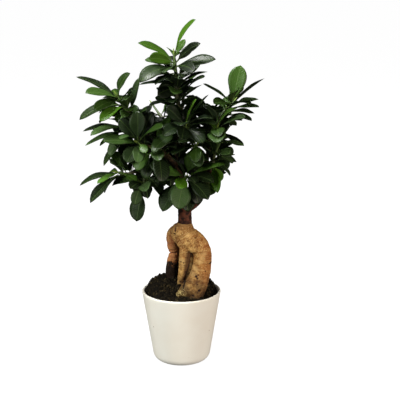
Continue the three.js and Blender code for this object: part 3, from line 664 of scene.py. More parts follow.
# %% Melt the roots into one skin
FORMS = {
    "left": [
        (-5, 3, 204, 8), (-11.3, 7, 197, 9.2), (-13.8, 9.5, 187, 8.7), (-13.4, 11, 177, 8),
        (-11.6, 12.5, 165, 6.4), (-13, 12.5, 157, 7.2), (-14.6, 12, 147, 8.2), (-15.6, 11, 134, 8.6),
        (-16.5, 10, 118, 8.2), (-16.5, 9, 102, 6.5), (-15, 9, 88, 4.4)],
    "middle": [
        *ROOTS["middle"][:5], (0.8, -10.5, 135, 6.6), (-0.8, -11, 126, 5.8), (-1.6, -10, 117, 5),
        (-1, -8, 104, 4.4), (-1, -7, 92, 3.8)],
    "toe": [
        (25, -14, 134, 13), (15, -21.5, 122, 13), (6, -27, 117, 11), (-1, -30.5, 114.5, 6.2),
        (-4.5, -31, 112.5, 4.2), (-6, -30, 104, 3.5)],
    "belly": [(15, -6, 193, 12), (16, -10, 184, 12), (16.5, -13, 176, 10.5), (16.5, -14.5, 172, 7.5)],
}
ROOT_FORMS = {**ROOTS, **FORMS}


def melted(name, rows, spacing, sides, voxel, smooth):
    """Tubes along rows, melted into one skin."""
    piece = show(name, mesh_of(name, [tube(*stations_along(row, spacing), sides) for row in rows]))
    remesh = piece.modifiers.new("melt", "REMESH")
    remesh.mode, remesh.voxel_size, remesh.use_smooth_shade = "VOXEL", voxel * MM, True
    soften = piece.modifiers.new("soften", "SMOOTH")
    soften.factor, soften.iterations = 0.5, smooth
    return settled(piece)


rootstock = melted("rootstock_bark", ROOT_FORMS.values(), 4, 28, 0.95, 7)
print("rootstock points:", len(rootstock.data.vertices))

# %% [markdown]
# Bark wrinkles run round each root, not along it, so the relief has to know how far down its own root every
# point is. Each point looks at all the stations and weighs them by closeness, counted from their surface.
# The weights also tell where two roots meet, which is where dirt gathers and the light doesn't reach.

# %% Where a point is on its root
NEAR = 40.0
STATION_SPACING = 3.5
BATCHES = 40


def along_roots(points, rows):
    """For each point: its distance down its root, and the share that each root has in it."""
    places, radii, downs, owners = [], [], [], []
    for owner, row in enumerate(rows):
        at, radius, _ = stations_along(row, STATION_SPACING)
        steps = np.linalg.norm(np.diff(at, axis=0), axis=1)
        places.append(at)
        radii.append(radius)
        downs.append(at[0][2] - np.concatenate([[0], np.cumsum(steps)]))
        owners.append(np.full(len(at), owner))
    places, radii, downs, owners = map(np.concatenate, (places, radii, downs, owners))
    down, shares = [], []
    for some in np.array_split(points, BATCHES):
        power = ((some[:, None, :] - places) ** 2).sum(-1) - radii ** 2
        weight = np.exp(-(power - power.min(1, keepdims=True)) / (2 * NEAR))
        weight /= weight.sum(1, keepdims=True)
        shares.append(np.stack([weight[:, owners == owner].sum(1) for owner in range(len(rows))], 1))
        down.append(weight @ downs)
    return np.concatenate(down), np.concatenate(shares)


def read_vectors(data, key):
    """One vector of each point of a mesh, as rows of three."""
    values = np.empty(len(data) * 3, np.float32)
    data.foreach_get(key, values)
    return values.reshape(-1, 3).astype(float)


# %% [markdown]
# This rootstock has marks on its front, where the photograph shows them, and some of them are painted light
# and shade. Each is a place across and up with a reach, in millimetres. Round pits are single marks, dark
# partly by painted shade. Cracks under the neck, the slit between the middle root and the thick one, painted
# as its shadow, the painted shade in that slit and two pale lines of painted highlight along the belly's
# lower edge are lines of marks. Last come pale patches and the moss at the toe's tip.

# %% Marks on the bark
# pits and cracks sink a little and are painted nearly black: partly their own dark colour, partly painted
# shade in them
PITS = [
    (21.9, 139.2, 1.8), (25.4, 141.5, 1.3), (23.6, 136.6, 1.5), (43.6, 156, 2.2), (36, 146, 1.2),
    (17.0, 112, 2.2), (26.5, 119, 2.4), (3, 157.5, 1.3), (-0.8, 159, 1.2), (24, 128, 1.0), (1.5, 135, 1.2),
    (6, 143, 1.2), (21, 196, 1.0), (-15.5, 199, 1.0), (-15, 193, 1.0), (-13.3, 204, 0.7), (-1.5, 127, 1.3),
    (2.5, 126, 1.0)]
CRACKS = [
    [(-8.4, 210, 0.7), (-8.8, 207, 1.3), (-9.4, 204, 0.9)],
    [(-8.8, 203, 0.5), (-10.1, 201, 1.0), (-9.4, 198.8, 0.6)],
    [(-11.8, 201.5, 0.5), (-11.3, 199, 0.6)]]
# painted shade: the slit is painted nearly black, as the shadow in the gap between the roots
SLIT_SHADOW = [[
    (14.8, 172.5, 1.0), (14.6, 166, 1.5), (13.6, 159, 1.7), (11.8, 153, 1.7), (9.4, 146, 1.6),
    (6.9, 138, 1.5), (4.6, 129, 1.4), (2.6, 122, 1.2)]]
SHADE = [[
    (11.4, 175, 3.2), (11.0, 168, 5.0), (10.4, 162, 5.0), (8.8, 155, 4.4), (7.0, 147, 3.6),
    (5, 139, 2.8), (3, 130, 2.0)]]
# painted highlight: two pale lines along the lit lower edge of the belly
HIGHLIGHT_LINES = [
    [(2.3, 174.0, 0.6), (6, 174.6, 0.8), (10, 174.2, 0.5), (14, 175.2, 0.8), (17, 175.0, 0.4)],
    [(23, 176.5, 0.7), (28, 176.0, 0.9), (33, 176.8, 0.5), (38, 176.0, 0.6)]]
PALE = [
    (31, 165, 5), (28, 160, 4), (1.5, 161, 5), (3, 153, 4), (34, 171, 4), (20, 150, 5), (16, 142, 4),
    (10, 200, 4)]
MOSS = [(-3, 117, 4.5), (1, 115, 4.5), (-6, 114, 3.5), (4, 110, 3.5), (2, 121, 2.5), (8, 108, 2.5)]
MARK_FLATNESS = 1.2
FACES_FRONT = 0.1


def dotted(lines, step=0.7):
    """Marks (x, z, radius) close together along lines of such marks."""
    marks = []
    for line in lines:
        for start, end in zip(line, line[1:]):
            start, end = np.array(start), np.array(end)
            count = math.ceil(np.linalg.norm(end[:2] - start[:2]) / step)
            marks += [tuple(lerp(start, end, i / count)) for i in range(count)]
    return marks


def marked(points, normals, marks, uneven):
    """How far each point of the front lies within the nearest of the marks, from 0 to 1."""
    share = np.zeros(len(points))
    for x, z, radius in marks:
        away = np.hypot(points[:, 0] - x, (points[:, 2] - z) * MARK_FLATNESS)
        gap = away / radius * (1 + uneven)
        share = np.maximum(share, np.exp(-gap ** 3) * (normals[:, 1] < FACES_FRONT))
    return share


print("marks on the slit:", len(dotted(SLIT_SHADOW)))

# %% [markdown]
# The relief has three sizes: soft bulges, folds a few millimetres apart round the root, and sharp little
# grooves where noise passes through zero. The points are moved along their normals, so that the wrinkles
# are real and show on the outline. The noises, each with its size and shift, are stretched round each root,
# and every root reads a part of its own. Waists pinch the left root, and fine ripples run round every root.
# How deep a point lies and which mark it is in are kept on the mesh, for the finish to read.

# %% Wrinkles on the rootstock
ROOTS_APART, RING_STRETCH = 17.0, 9
FOLD_NOISES = [(1, 3), (0.42, 31), (0.9, 57), (0.3, 83)]
LINE_WIDTH, FINE_WIDTH, FINE_DEPTH = 0.09, 0.12, 0.7
RIPPLE_STEP, RIPPLE = 2.7, 0.10
LEFT_FOLDS = [(162.5, 1.8, 2.0), (168.5, 0.7, 1.1), (180, 0.4, 1.2), (154, 0.6, 1.3)]
LEFT_SLANT, LEFT_MIDDLE = 0.25, -13
HOLLOW_ROUNDS = 24
PIT_DEPTH = 0.9


def hollows(mesh, points, normals):
    """How far each point lies below the mean of the skin round it: above 0 in a hollow."""
    ends = np.empty(len(mesh.edges) * 2, np.int32)
    mesh.edges.foreach_get("vertices", ends)
    one, other = ends.reshape(-1, 2).T
    size = len(points)
    share = 1 / np.bincount(ends, minlength=size)
    mean = points.copy()
    for _ in range(HOLLOW_ROUNDS):
        for k in range(3):
            total = np.bincount(one, mean[other, k], size) + np.bincount(other, mean[one, k], size)
            mean[:, k] = total * share
    return ((mean - points) * normals).sum(1)


def carry_marks(mesh, points, normals, shares, fine, lines):
    """Keeps on each point how far it is in each kind of mark, and how far it belongs to the left root."""
    carry(mesh, "scar", marked(points, normals, dotted(HIGHLIGHT_LINES), 0.9 * fine))
    carry(mesh, "slit", marked(points, normals, dotted(SLIT_SHADOW), 0.4 * fine))
    carry(mesh, "shade", marked(points, normals, dotted(SHADE, 1.5), 0.5 * fine))
    carry(mesh, "pale", marked(points, normals, PALE, 0.6 * lines))
    carry(mesh, "moss", marked(points, normals, MOSS, 0.8 * fine))
    names = list(ROOTS)
    carry(mesh, "of_left", shares[:, names.index("left")] + shares[:, names.index("back_left")])


def grooves(points, lines, fine):
    """How deep each point lies in a groove, from 0 to 1: grooves are where a noise passes through zero."""
    where = np.clip(noise_at(points, 16.0, 12) * 2 + 0.6, 0, 1)
    cut = np.clip(1 - np.abs(lines) / LINE_WIDTH, 0, 1) * where
    return np.maximum(cut, FINE_DEPTH * np.clip(1 - np.abs(fine) / FINE_WIDTH, 0, 1) * (1 - where * 0.4))


def waisted(points, normals, down, of_left, cut, folds):
    """The points drawn in at each fold of the left root, and the grooves with these folds among them."""
    for level, depth, width in folds:
        slant = LEFT_SLANT * (points[:, 0] - LEFT_MIDDLE) + 2.2 * noise_at(points, 9.0)
        waist = np.exp(-((down - level - slant) / width) ** 2) * of_left
        cut = np.maximum(cut, waist * min(1, depth * 0.5))
        points = points - normals * (waist * depth)[:, None]
    return points, cut


def ripples(points, down):
    """Waves down each root from -1 to 1, in patches."""
    wave = np.sin((down + 1.1 * noise_at(points, 7.0, 21)) * 2 * math.pi / RIPPLE_STEP)
    return wave * np.clip(noise_at(points, 19.0, 33) * 2.5 + 0.35, 0, 1)


def wrinkle(piece, rows, bulge, fold, groove, fold_size, pits=(), folds_of_left=()):
    """Moves the skin in and out, and gives how far."""
    mesh = piece.data
    points, normals = read_vectors(mesh.vertices, "co") / MM, read_vectors(mesh.vertex_normals, "vector")
    down, shares = along_roots(points, rows)
    mixed = shares @ (np.arange(len(rows)) * ROOTS_APART)
    ring = np.column_stack([points[:, 0] / RING_STRETCH + mixed, points[:, 1] / RING_STRETCH, down])
    folds, small, lines, fine = (noise_at(ring, fold_size * size, shift) for size, shift in FOLD_NOISES)
    cut, pit = grooves(points, lines, fine), marked(points, normals, pits, 0.6 * fine)
    of_left = shares[:, list(ROOTS).index("left")]
    points, cut = waisted(points, normals, down, of_left, cut, folds_of_left)
    ripple = ripples(points, down)
    lift = (bulge * noise_at(points, 24.0, 5) + fold * folds + fold * 0.4 * small - groove * cut
            - PIT_DEPTH * pit + RIPPLE * ripple)
    moved = points + normals * lift[:, None]
    mesh.vertices.foreach_set("co", (moved * MM).astype(np.float32).ravel())
    mesh.update()
    carry(mesh, "down", down * MM)
    carry(mesh, "hollow", hollows(mesh, moved, normals))
    carry(mesh, "groove", np.maximum(cut, 0.7 * np.clip(-ripple, 0, 1) ** 2))
    carry(mesh, "pit", pit)
    if pits:
        carry_marks(mesh, points, normals, shares, fine, lines)
    return lift


lift = wrinkle(rootstock, list(ROOT_FORMS.values()), 0.9, 0.5, 0.42, 5.2, PITS + dotted(CRACKS), LEFT_FOLDS)
print("relief, mm:", round(lift.min(), 2), "to", round(lift.max(), 2))

# %% [markdown]
# The bark is tan and thin. It is paler where light and hands have polished it, rusty on its right and darker
# there by painted shade, darkened by painted shade in its folds and hollows, and brown up the neck. Noise
# stretched round the root gives fine bands, and small pale pores lie over them. One function builds this
# clean bark.

# %% Clean root bark
TAN_STOPS = [
    (0.38, (0.130, 0.050, 0.013)), (0.46, (0.268, 0.120, 0.030)), (0.53, (0.420, 0.215, 0.058)),
    (0.63, (0.660, 0.400, 0.125))]
# the rust colour also serves as painted shade on the right flank
RUST_AND_SHADE, BAND_BROWN, PORE_PALE = (0.350, 0.118, 0.027), (0.140, 0.055, 0.016), (0.760, 0.530, 0.200)
FOLD_SHADE, WORN_TAN, NECK_BROWN = (0.055, 0.022, 0.009), (0.680, 0.430, 0.145), (0.175, 0.078, 0.024)


def root_noises(start):
    """Noises that the bark's colour, its dirt and its relief share, by name."""
    place = object_place(start)
    across = {"X": part_of(place, "X") * 0.25, "Y": part_of(place, "Y") * 0.25, "Z": stored(start, "down")}
    ring = start.node("ShaderNodeCombineXYZ", None, across)
    return {
        "bands": grain(start, ring, 420.0, 4.0, 0.65), "fine": grain(start, ring, 1100.0, 3.0, 0.65),
        "mottle": grain(start, place, 210.0, 4.0, 0.62), "patch": grain(start, place, 45.0, 3.0, 0.55),
        "specks": grain(start, place, 620.0, 2.0, 0.5)}


def clean_bark(start, place, noises):
    """Tan bark with its bands and pores, and painted shade in its folds and on its right, before marks and
    dirt.
    """
    east, tall = part_of(place, "X"), part_of(place, "Z")
    bands, fine, mottle, patch, specks = noises.values()
    mixed = {"Fac": mottle * 0.50 + bands * 0.27 + patch * 0.23}
    tan = start.node("ShaderNodeValToRGB", {"stops": TAN_STOPS}, mixed, "Color")
    # the right flank turns a darker rust red: partly its own colour, partly painted shade on the side away
    # from the light
    rust_and_right_shade = (east + (patch - 0.5) * 0.03).ease(0.018, 0.042) * 0.7 + (1 - patch.ease(0.36, 0.50)) * 0.3
    banded = (fine.ease(0.54, 0.72) * 0.45).mix(rust_and_right_shade.mix(tan, RUST_AND_SHADE), BAND_BROWN)
    pores = specks.ease(0.56, 0.66) * (0.35 + 0.4 * tall.ease(0.165, 0.190))
    hollow = stored(start, "hollow")
    # painted shade: grooves and hollows are painted dark brown, as the shade that falls in them
    folds = stored(start, "groove") * 0.5 + hollow.ease(0.25, 1.6) * 0.9
    shaded_folds = folds.mix(pores.mix(banded, PORE_PALE), FOLD_SHADE)
    worn = ((0 - hollow).ease(0.15, 0.7) * 0.4).mix(shaded_folds, WORN_TAN)
    neck = (tall + (mottle - 0.5) * 0.02).ease(0.200, 0.216) * 0.62
    return neck.mix(worn, NECK_BROWN)


print("tan stops:", len(TAN_STOPS))

# %% [markdown]
# Over the clean bark come the marks that its points carry, each with a strength and a colour. The left root
# is ruddy. Every foot is darker towards the bottom, the left one most of all with soil on it, and low on the
# roots at the back the same near black is painted shade behind the front roots. The edge of the dark is a
# height made uneven by noise. Moss is last, because it grows on top of the dirt.

# %% Marks, dirt and moss on the bark
BARK_MARKS = [
    # the first mark is a painted highlight; the shade and the slit are painted shade; pits are partly painted
    # shade
    ("scar", (0.2, 0.9), 0.6, (0.740, 0.500, 0.190)), ("pale", None, 0.5, (0.720, 0.470, 0.180)),
    ("shade", None, 0.88, (0.070, 0.029, 0.010)), ("slit", (0.1, 0.9), 0.95, (0.020, 0.008, 0.004)),
    ("pit", (0.25, 0.8), 1.0, (0.030, 0.010, 0.005))]
# the near black here is soil stain on the feet and painted shade on the roots at the back
RUDDY, STAIN_AND_SHADE, MOSS_PALE = (0.400, 0.130, 0.055), (0.0075, 0.0045, 0.0028), (0.660, 0.540, 0.210)


def make_root_bark():
    """The finish of the rootstock: clean bark, its marks, then dirt, painted shade at the back, and moss."""
    material, shader, start = new_material("root_bark", Specular_IOR_Level=0.2)
    place, noises = object_place(start), root_noises(start)
    north, tall = part_of(place, "Y"), part_of(place, "Z")
    bands, fine, mottle, patch, specks = noises.values()
    colour = clean_bark(start, place, noises)
    for name, limits, strength, paint in BARK_MARKS:
        mark = stored(start, name).ease(*limits) if limits else stored(start, name)
        colour = (mark * strength).mix(colour, paint)
    left = stored(start, "of_left")
    low_left = left * (1 - (tall + (mottle - 0.5) * 0.02).ease(0.184, 0.200))
    ruddy = (left * 0.15 + low_left * 0.45).mix(colour, RUDDY)
    feet = (1 - (tall + (patch - 0.5) * 0.05 + (mottle - 0.5) * 0.02).ease(0.108, 0.148)) * 0.88
    dirt = left * (1 - (tall + (mottle - 0.5) * 0.026 + (patch - 0.5) * 0.045).ease(0.147, 0.153)) * 0.98
    # painted shade: the roots at the back are painted near black low down, as shade behind the front roots
    shade_behind = north.ease(0.012, 0.020) * (1 - (tall + (mottle - 0.5) * 0.03).ease(0.125, 0.150)) * 0.85
    stained_and_shaded = feet.math("MAXIMUM", dirt).math("MAXIMUM", shade_behind).mix(ruddy, STAIN_AND_SHADE)
    moss = stored(start, "moss") * specks.ease(0.50, 0.60) * 0.8
    feed(shader, "Base Color", moss.mix(stained_and_shaded, MOSS_PALE))
    feed(shader, "Roughness", 0.50 + 0.3 * bands + dirt * 0.15)
    relief = bands * 0.5 + fine * 0.45 + mottle * 0.6 + specks * 0.3 + mottle * dirt * 2.0
    feed(shader, "Normal", bump(start, relief, 0.0018, 1.0))
    return material


rootstock.data.materials.append(make_root_bark())
print("bark nodes:", len(rootstock.data.materials[0].node_tree.nodes))
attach(rootstock, "root")
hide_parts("rootstock")

# %% [markdown]
# The grafted top has its own thin trunk, which rises from the neck and forks into branches. They are made
# as the roots were, from rows of points, and each branch starts inside its parent, so that the remesh
# gives it a natural collar. Each end reaches a little into the leafy stem that goes on from it, and the
# trunk sinks a little into the neck.

# %% Branch rows
BRANCHES = {
    "top": [
        (5.7, 0, GRAFT + TOUCH, 10), (5.7, 0, 228, 10.1), (4, 1, 243, 9.5), (1, 3, 262, 6.8),
        (-2, 5, 290, 5.6), (-4, 5, 325, 4.8), (-5, 3, 355, 4), (-3.6, 0, 384, 3.1)],
    "rightLow": [
        (5, 0, 231, 6), (14, -1, 239, 5.8), (25, -2, 248, 5), (36, -4, 270, 4.4),
        (42, -5, 285, 3.6), (44, -6, 296, 2.8)],
    "rightTop": [(35, -4, 267, 3.8), (37, 0, 290, 3.6), (41, 4, 325, 3.2), (56, 4, 364, 2.6)],
    "leftTop": [(-2.5, 5, 298, 4.4), (-20, 4, 316, 4), (-44, 2, 342, 3.4), (-64, 0, 368, 2.6)],
    "leftLow": [(-19, 4, 315, 3), (-34, -3, 309, 2.9), (-50, -8, 301, 2.7), (-66, -10, 296, 2.4)],
    "leftHang": [(-36, -4, 308, 2.3), (-44, -10, 300, 2.3), (-50, -14, 292, 2.1)],
    "leftMid": [(-43, 2, 341, 2.6), (-54, 5, 343, 2.5), (-66, 8, 346, 2.3)],
    "centreLeft": [(-30, 3, 327, 2.8), (-40, -6, 331, 2.6), (-48, -14, 334, 2.3)],
    "leftCentre": [(-12, 4, 309, 2.8), (-20, -7, 317, 2.6), (-28, -18, 323, 2.3)],
    "centreMid": [(-2.5, 5, 298, 2.9), (7, -6, 314, 2.6), (15, -17, 326, 2.3)],
    "rightMid": [(40, 4, 318, 2.8), (44, -7, 336, 2.6), (47, -16, 346, 2.3)],
    "centre": [(-4, 4, 335, 2.8), (-1, -5, 342, 2.6), (2, -13, 348, 2.3)],
    "centreLow": [(0, 3, 270, 3), (2, -7, 276, 2.7), (4, -15, 282, 2.3)],
    "backLeft": [(-4, 4, 343, 3), (-13, 16, 353, 2.7), (-22, 27, 362, 2.4)],
    "backRight": [(41, 4, 322, 2.6), (41, 17, 332, 2.5), (42, 28, 340, 2.3)],
    "backLow": [(-1, 4, 280, 3), (-6, 16, 287, 2.7), (-10, 28, 292, 2.3)],
    "backLowRight": [(38, -4, 276, 2.6), (41, 9, 283, 2.5), (44, 20, 290, 2.3)],
    "backTop": [(-4, 2, 366, 2.4), (-1, 12, 376, 2.3), (2, 22, 384, 2.2)],
    "backMid": [(-4, 5, 312, 2.8), (0, 18, 320, 2.6), (4, 30, 328, 2.3)],
}
BRANCH_OVERLAP, BRANCH_END = 2.0, 0.97
TRUNK_SINKS, TRUNK_FLARE = 3, 0.7


def reaching(row):
    """The row with its end moved on into the stem beyond, and a touch thinner there."""
    row = [np.array(point, float) for point in row]
    ahead = unit((row[-1] - row[-2])[:3])
    row[-1] = np.append(row[-1][:3] + BRANCH_OVERLAP * ahead, row[-1][3] * BRANCH_END)
    return row


branch_rows = {name: reaching(row) for name, row in BRANCHES.items()}
branch_rows["top"][0] = branch_rows["top"][0] + (0, 0, -TRUNK_SINKS, TRUNK_FLARE)
wood = melted("grafted_bark", branch_rows.values(), 3, 16, 0.7, 5)
wrinkle(wood, list(branch_rows.values()), 0.55, 0.42, 0.4, 3.6)
print("grafted wood points:", len(wood.data.vertices))

# %% [markdown]
# Young fig bark is smooth and dark, red brown low down and greener towards the shoots, with pale pores. The
# height on the plant is enough to tell old wood from young. A dark line marks the graft, where the top was
# joined to the neck.

# %% Branch bark
OLD_DARK, OLD_RED = (0.018, 0.0060, 0.0038), (0.150, 0.046, 0.022)
YOUNG_DARK, YOUNG_GREEN = (0.045, 0.038, 0.018), (0.085, 0.085, 0.032)
GROOVE_SHADE, GRAFT_DARK, STEM_PORE = (0.020, 0.011, 0.008), (0.016, 0.007, 0.004), (0.20, 0.11, 0.065)


def make_stem_bark():
    """The finish of the grafted wood, from old bark below to young bark above."""
    material, shader, start = new_material("stem_bark", Specular_IOR_Level=0.2)
    place = object_place(start)
    tall = part_of(place, "Z")
    cloud = grain(start, place, 130.0, 4.0, 0.6)
    fine = grain(start, place, 900.0, 3.0, 0.6)
    pores = start.node("ShaderNodeTexVoronoi", None, {"Vector": place, "Scale": 420.0}, "Distance")
    pore = 1 - pores.ease(0.12, 0.26)
    old = cloud.ease(0.40, 0.62).mix(OLD_DARK, OLD_RED)
    young = cloud.ease(0.38, 0.66).mix(YOUNG_DARK, YOUNG_GREEN)
    aged = (tall + (cloud - 0.5) * 0.04).ease(0.255, 0.360).mix(old, young)
    # painted shade: the grooves are painted darker
    cut = (stored(start, "groove") * 0.6).mix(aged, GROOVE_SHADE)
    union = 1 - (tall + (cloud - 0.5) * 0.006).ease(0.2165, 0.2195)
    joined = (union * 0.6).mix(cut, GRAFT_DARK)
    feed(shader, "Base Color", (pore * 0.3).mix(joined, STEM_PORE))
    feed(shader, "Roughness", 0.62 + 0.25 * fine)
    feed(shader, "Normal", bump(start, fine * 0.6 + cloud * 0.8 + pore * 0.5, 0.0012, 0.9))
    return material


wood.data.materials.append(make_stem_bark())
print("branch bark nodes:", len(wood.data.materials[0].node_tree.nodes))
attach(wood, "root")
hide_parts("grafted_wood")

# %% [markdown]
# Leafy shoots carry on from the branches. Each has the path of its stem, how many leaves wind up it, and
# its aimed leaves, the ones that show in the photograph. A row of these gives the place on the stem, the
# tip's x, y and z, the width, the arch in degrees, and how far the blade turns its face to the front. The
# last number is the leaf's youth: 1 is bright new green, 0 is dark green, and below 0 darker still.

# %% Shoot rows
SHOOTS = {
    "top": ([(-6, 0, 430), (-9, 0, 464)], 10, [
        (0.97, 22, -28, 516, 20, 46, 50, 0.75), (0.95, 7, 12, 486, 10, 10, 40, 0.5),
        (0.88, -61, -4, 482, 22, 30, 25, 0.6), (0.85, -44, -48, 463, 20, 25, 60, 1.0),
        (0.80, -52, 18, 456, 20, 25, 30, 0.1), (0.85, 18, 10, 480, 13, 10, 60, -0.5),
        (0.83, 29, -14, 482, 17, 35, 50, -0.3), (0.80, 51, -10, 459, 22, 16, 36, 0.0),
        (0.78, 25, -34, 444, 20, 50, 40, -1.0), (0.72, -61, -22, 428, 24, 75, 35, 0.0),
        (0.68, -37, -32, 431, 16, 40, 0, -0.6), (0.62, -45, 14, 433, 18, 40, 20, 0.0),
        (0.50, -61, 16, 420, 20, 14, 10, 0.0), (0.38, -33, -30, 416, 25, 40, 75, -0.6),
        (0.45, 40, 12, 439, 20, 30, 0, 0.0), (0.36, 39, -26, 437, 20, 16, 20, 0.0),
        (0.13, 31, -28, 425, 14, 22, 0, 0.0), (0.05, 24, -22, 408, 16, 20, 0, 0.2),
        (0.08, -46, -20, 392, 20, 60, 0, 0.0)]),
    "rightTop": ([(68, 2, 384), (78, 0, 397)], 8, [
        (0.95, 88, 14, 448, 28, 12, 30, 0.35), (0.90, 118, -46, 436, 22, 10, 10, 0.0),
        (0.85, 115, 16, 398, 20, 14, 10, 0.0), (0.65, 112, -32, 393, 20, 16, 10, 0.1),
        (0.50, 109, 10, 378, 17, 24, 15, 0.1), (0.35, 102, -30, 373, 18, 30, 10, 0.0),
        (0.92, 32, -8, 424, 17, 12, 15, 0.2), (0.85, 51, -28, 397, 20, 35, 30, 0.3),
        (0.60, 44, -14, 384, 22, 30, 20, 0.0), (0.30, 69, -30, 356, 22, 50, 40, 0.0)]),
    "rightLow": ([(50, -9, 322), (58, -12, 342)], 9, [
        (0.90, 92, -20, 335, 20, 42, 15, 0.0), (0.62, 76, -18, 321, 21, 45, 35, 0.0),
        (0.50, 77, -8, 307, 18, 38, 25, 0.0), (0.30, 68, -42, 311, 20, 30, 20, 0.0),
        (0.25, 73, -4, 287, 12, 50, 30, 0.0), (0.20, 60, -16, 282, 14, 30, 40, 0.8),
        (0.15, 53, -46, 271, 19, 40, 40, 0.8)]),
    "rightMid": ([(50, -26, 356), (52, -34, 365)], 11, []),
    "centreMid": ([(20, -28, 334), (23, -38, 341)], 11, []),
    "centreLow": ([(6, -25, 288), (8, -34, 293)], 7, [
        (0.95, 21, -28, 331, 23, 10, 65, 0.3), (0.80, 59, -68, 327, 20, 20, 20, 0.5),
        (0.75, -4, -60, 250, 31, 40, 30, 0.0), (0.35, -27, -36, 241, 34, 30, 20, 0.0),
        (0.60, 29, -44, 256, 24, 45, 30, 0.0), (0.90, -4, -66, 282, 20, 20, 30, 1.0),
        (0.70, -29, -52, 303, 22, 35, 35, 0.4), (0.85, -12, -60, 325, 20, 35, 30, 0.0)]),
    "leftHang": ([(-54, -20, 283), (-57, -24, 273)], 6, [
        (0.15, -34, -36, 278, 20, 40, 30, 0.0), (0.40, -48, -42, 262, 12, 30, 0, 0.0),
        (0.95, -65, -34, 226, 31, 2, 0, 0.0), (0.50, -71, -40, 276, 18, 30, 30, 0.0)]),
    "leftLow": ([(-80, -12, 292), (-91, -14, 295)], 7, [
        (0.85, -148, -22, 277, 22, 38, 10, 0.1), (0.90, -132, -34, 254, 22, 25, 15, 0.1),
        (0.95, -119, -58, 288, 12, 20, 10, 0.6), (0.70, -99, -6, 325, 20, 15, 40, 0.4),
        (0.30, -89, -34, 320, 24, 20, 60, 0.0), (0.80, -64, -40, 299, 14, 20, 15, 0.5)]),
    "leftTop": ([(-80, -2, 386), (-91, -4, 405)], 7, [
        (0.88, -152, 12, 432, 22, 28, 10, 0.0), (0.90, -134, -42, 415, 22, 34, 30, 0.25),
        (0.93, -72, -4, 439, 22, 64, 30, 0.2), (0.85, -66, -22, 417, 20, 35, 25, 0.0),
        (0.30, -60, 10, 431, 14, 12, 10, 0.0), (0.85, -123, -38, 397, 20, 35, 30, 0.3),
        (0.70, -146, -16, 373, 22, 45, 25, 0.2), (0.60, -119, -36, 374, 18, 50, 30, 0.8),
        (0.45, -93, -22, 372, 12, 35, 30, 0.6), (0.50, -69, -34, 389, 18, 30, 15, 0.4)]),
    "leftMid": ([(-75, 7, 351), (-80, 5, 361)], 8, [
        (0.90, -144, 4, 353, 24, 22, 10, 0.0), (0.80, -128, -46, 355, 18, 40, 15, 0.1),
        (0.70, -117, -40, 347, 14, 30, 0, 0.1), (0.60, -140, -4, 333, 20, 24, 10, 0.1),
        (0.50, -107, -20, 325, 20, 45, 15, 0.0), (0.20, -114, 2, 300, 17, 40, 30, 0.1)]),
    "leftCentre": ([(-34, -28, 327), (-39, -38, 333)], 11, []),
    "centreLeft": ([(-56, -24, 338), (-62, -33, 343)], 6, [
        (0.95, -61, -30, 388, 25, 10, 10, 0.0), (0.85, -84, -26, 380, 22, 15, 60, 0.0),
        (0.80, -45, -20, 388, 22, 15, 50, 0.0), (0.90, -32, -58, 385, 22, 40, 30, 0.3),
        (0.60, -104, -56, 355, 24, 25, 30, 0.2), (0.95, -49, -54, 331, 14, 30, 30, 0.7),
        (0.60, -80, -54, 327, 24, 50, 30, 0.0)]),
    "centre": ([(5, -26, 358), (7, -37, 368)], 7, [
        (0.90, -21, -40, 395, 25, 20, 55, 0.0), (0.70, -12, -16, 397, 16, 20, 10, 0.3),
        (0.95, 23, -44, 407, 15, 25, 30, 0.9), (0.80, 34, -34, 415, 16, 20, 0, 0.1),
        (0.85, 42, -46, 394, 20, 45, 10, 0.0), (0.75, -29, -62, 358, 24, 50, 30, 0.0),
        (0.80, 34, -62, 358, 24, 50, 30, 0.0), (0.90, 2, -70, 341, 24, 50, 30, 0.0),
        (0.60, 53, -48, 375, 22, 40, 15, 0.0), (0.20, -48, -52, 324, 22, 60, 20, 0.1)]),
    "backLeft": ([(-33, 42, 374), (-42, 54, 385)], 11, []),
    "backRight": ([(46, 43, 352), (50, 57, 363)], 11, []),
    "backLow": ([(-17, 44, 297), (-23, 58, 300)], 10, []),
    "backLowRight": ([(50, 36, 295), (56, 50, 299)], 10, []),
    "backTop": ([(4, 35, 397), (6, 47, 410)], 10, []),
    "backMid": ([(8, 46, 338), (11, 61, 347)], 11, []),
}
SHOOT_LEAD, SHOOT_TIP, BUD_LENGTH = 6.0, 1.4, 11.0
SHOOT_SPACING = 30


def shoot_row(name):
    """The row of a shoot's stem, which goes on from its branch."""
    branch, path = np.array(BRANCHES[name], float), SHOOTS[name][0]
    end, radius = branch[-1][:3], branch[-1][3]
    ahead = unit(end - branch[-2][:3])
    row = [(*(end + ahead * gap), radius) for gap in (TOUCH, SHOOT_LEAD)]
    return row + [(*point, lerp(radius, SHOOT_TIP, (i + 1) / len(path))) for i, point in enumerate(path)]


print("aimed leaves:", sum(len(aimed) for _, _, aimed in SHOOTS.values()))

# %% [markdown]
# A leaf's shape is a rule: it arches from its base to its tip, widest past the middle, folded a little along
# its midrib. The same rule gives the test points here, the solids, and the finished blades further down.

# %% The rule of a leaf
STALK_LENGTH, STALK_WIDTH = 8.0, 1.7
BLADE_WIDEST, BLADE_BLUNT, BLADE_FOLD = 0.571, 0.75, 0.2
LEAST_ARCH = 2
TEST_ROWS = 12
TEST_ACROSS = np.array([-1, -0.5, 0, 0.5, 1])
TEST_STALK = np.array([0.4, 0.7, 1])
BLADE_TESTS = TEST_ROWS * len(TEST_ACROSS)


def bend_of(arch):
    """The leaf's arch in radians, never quite flat."""
    return math.radians(max(LEAST_ARCH, arch))


def turn_of(front, chord):
    """How far the blade turns to the front, in radians: the other way round for a leaf that points right."""
    return math.radians(front if chord[0] < 0 else -front)


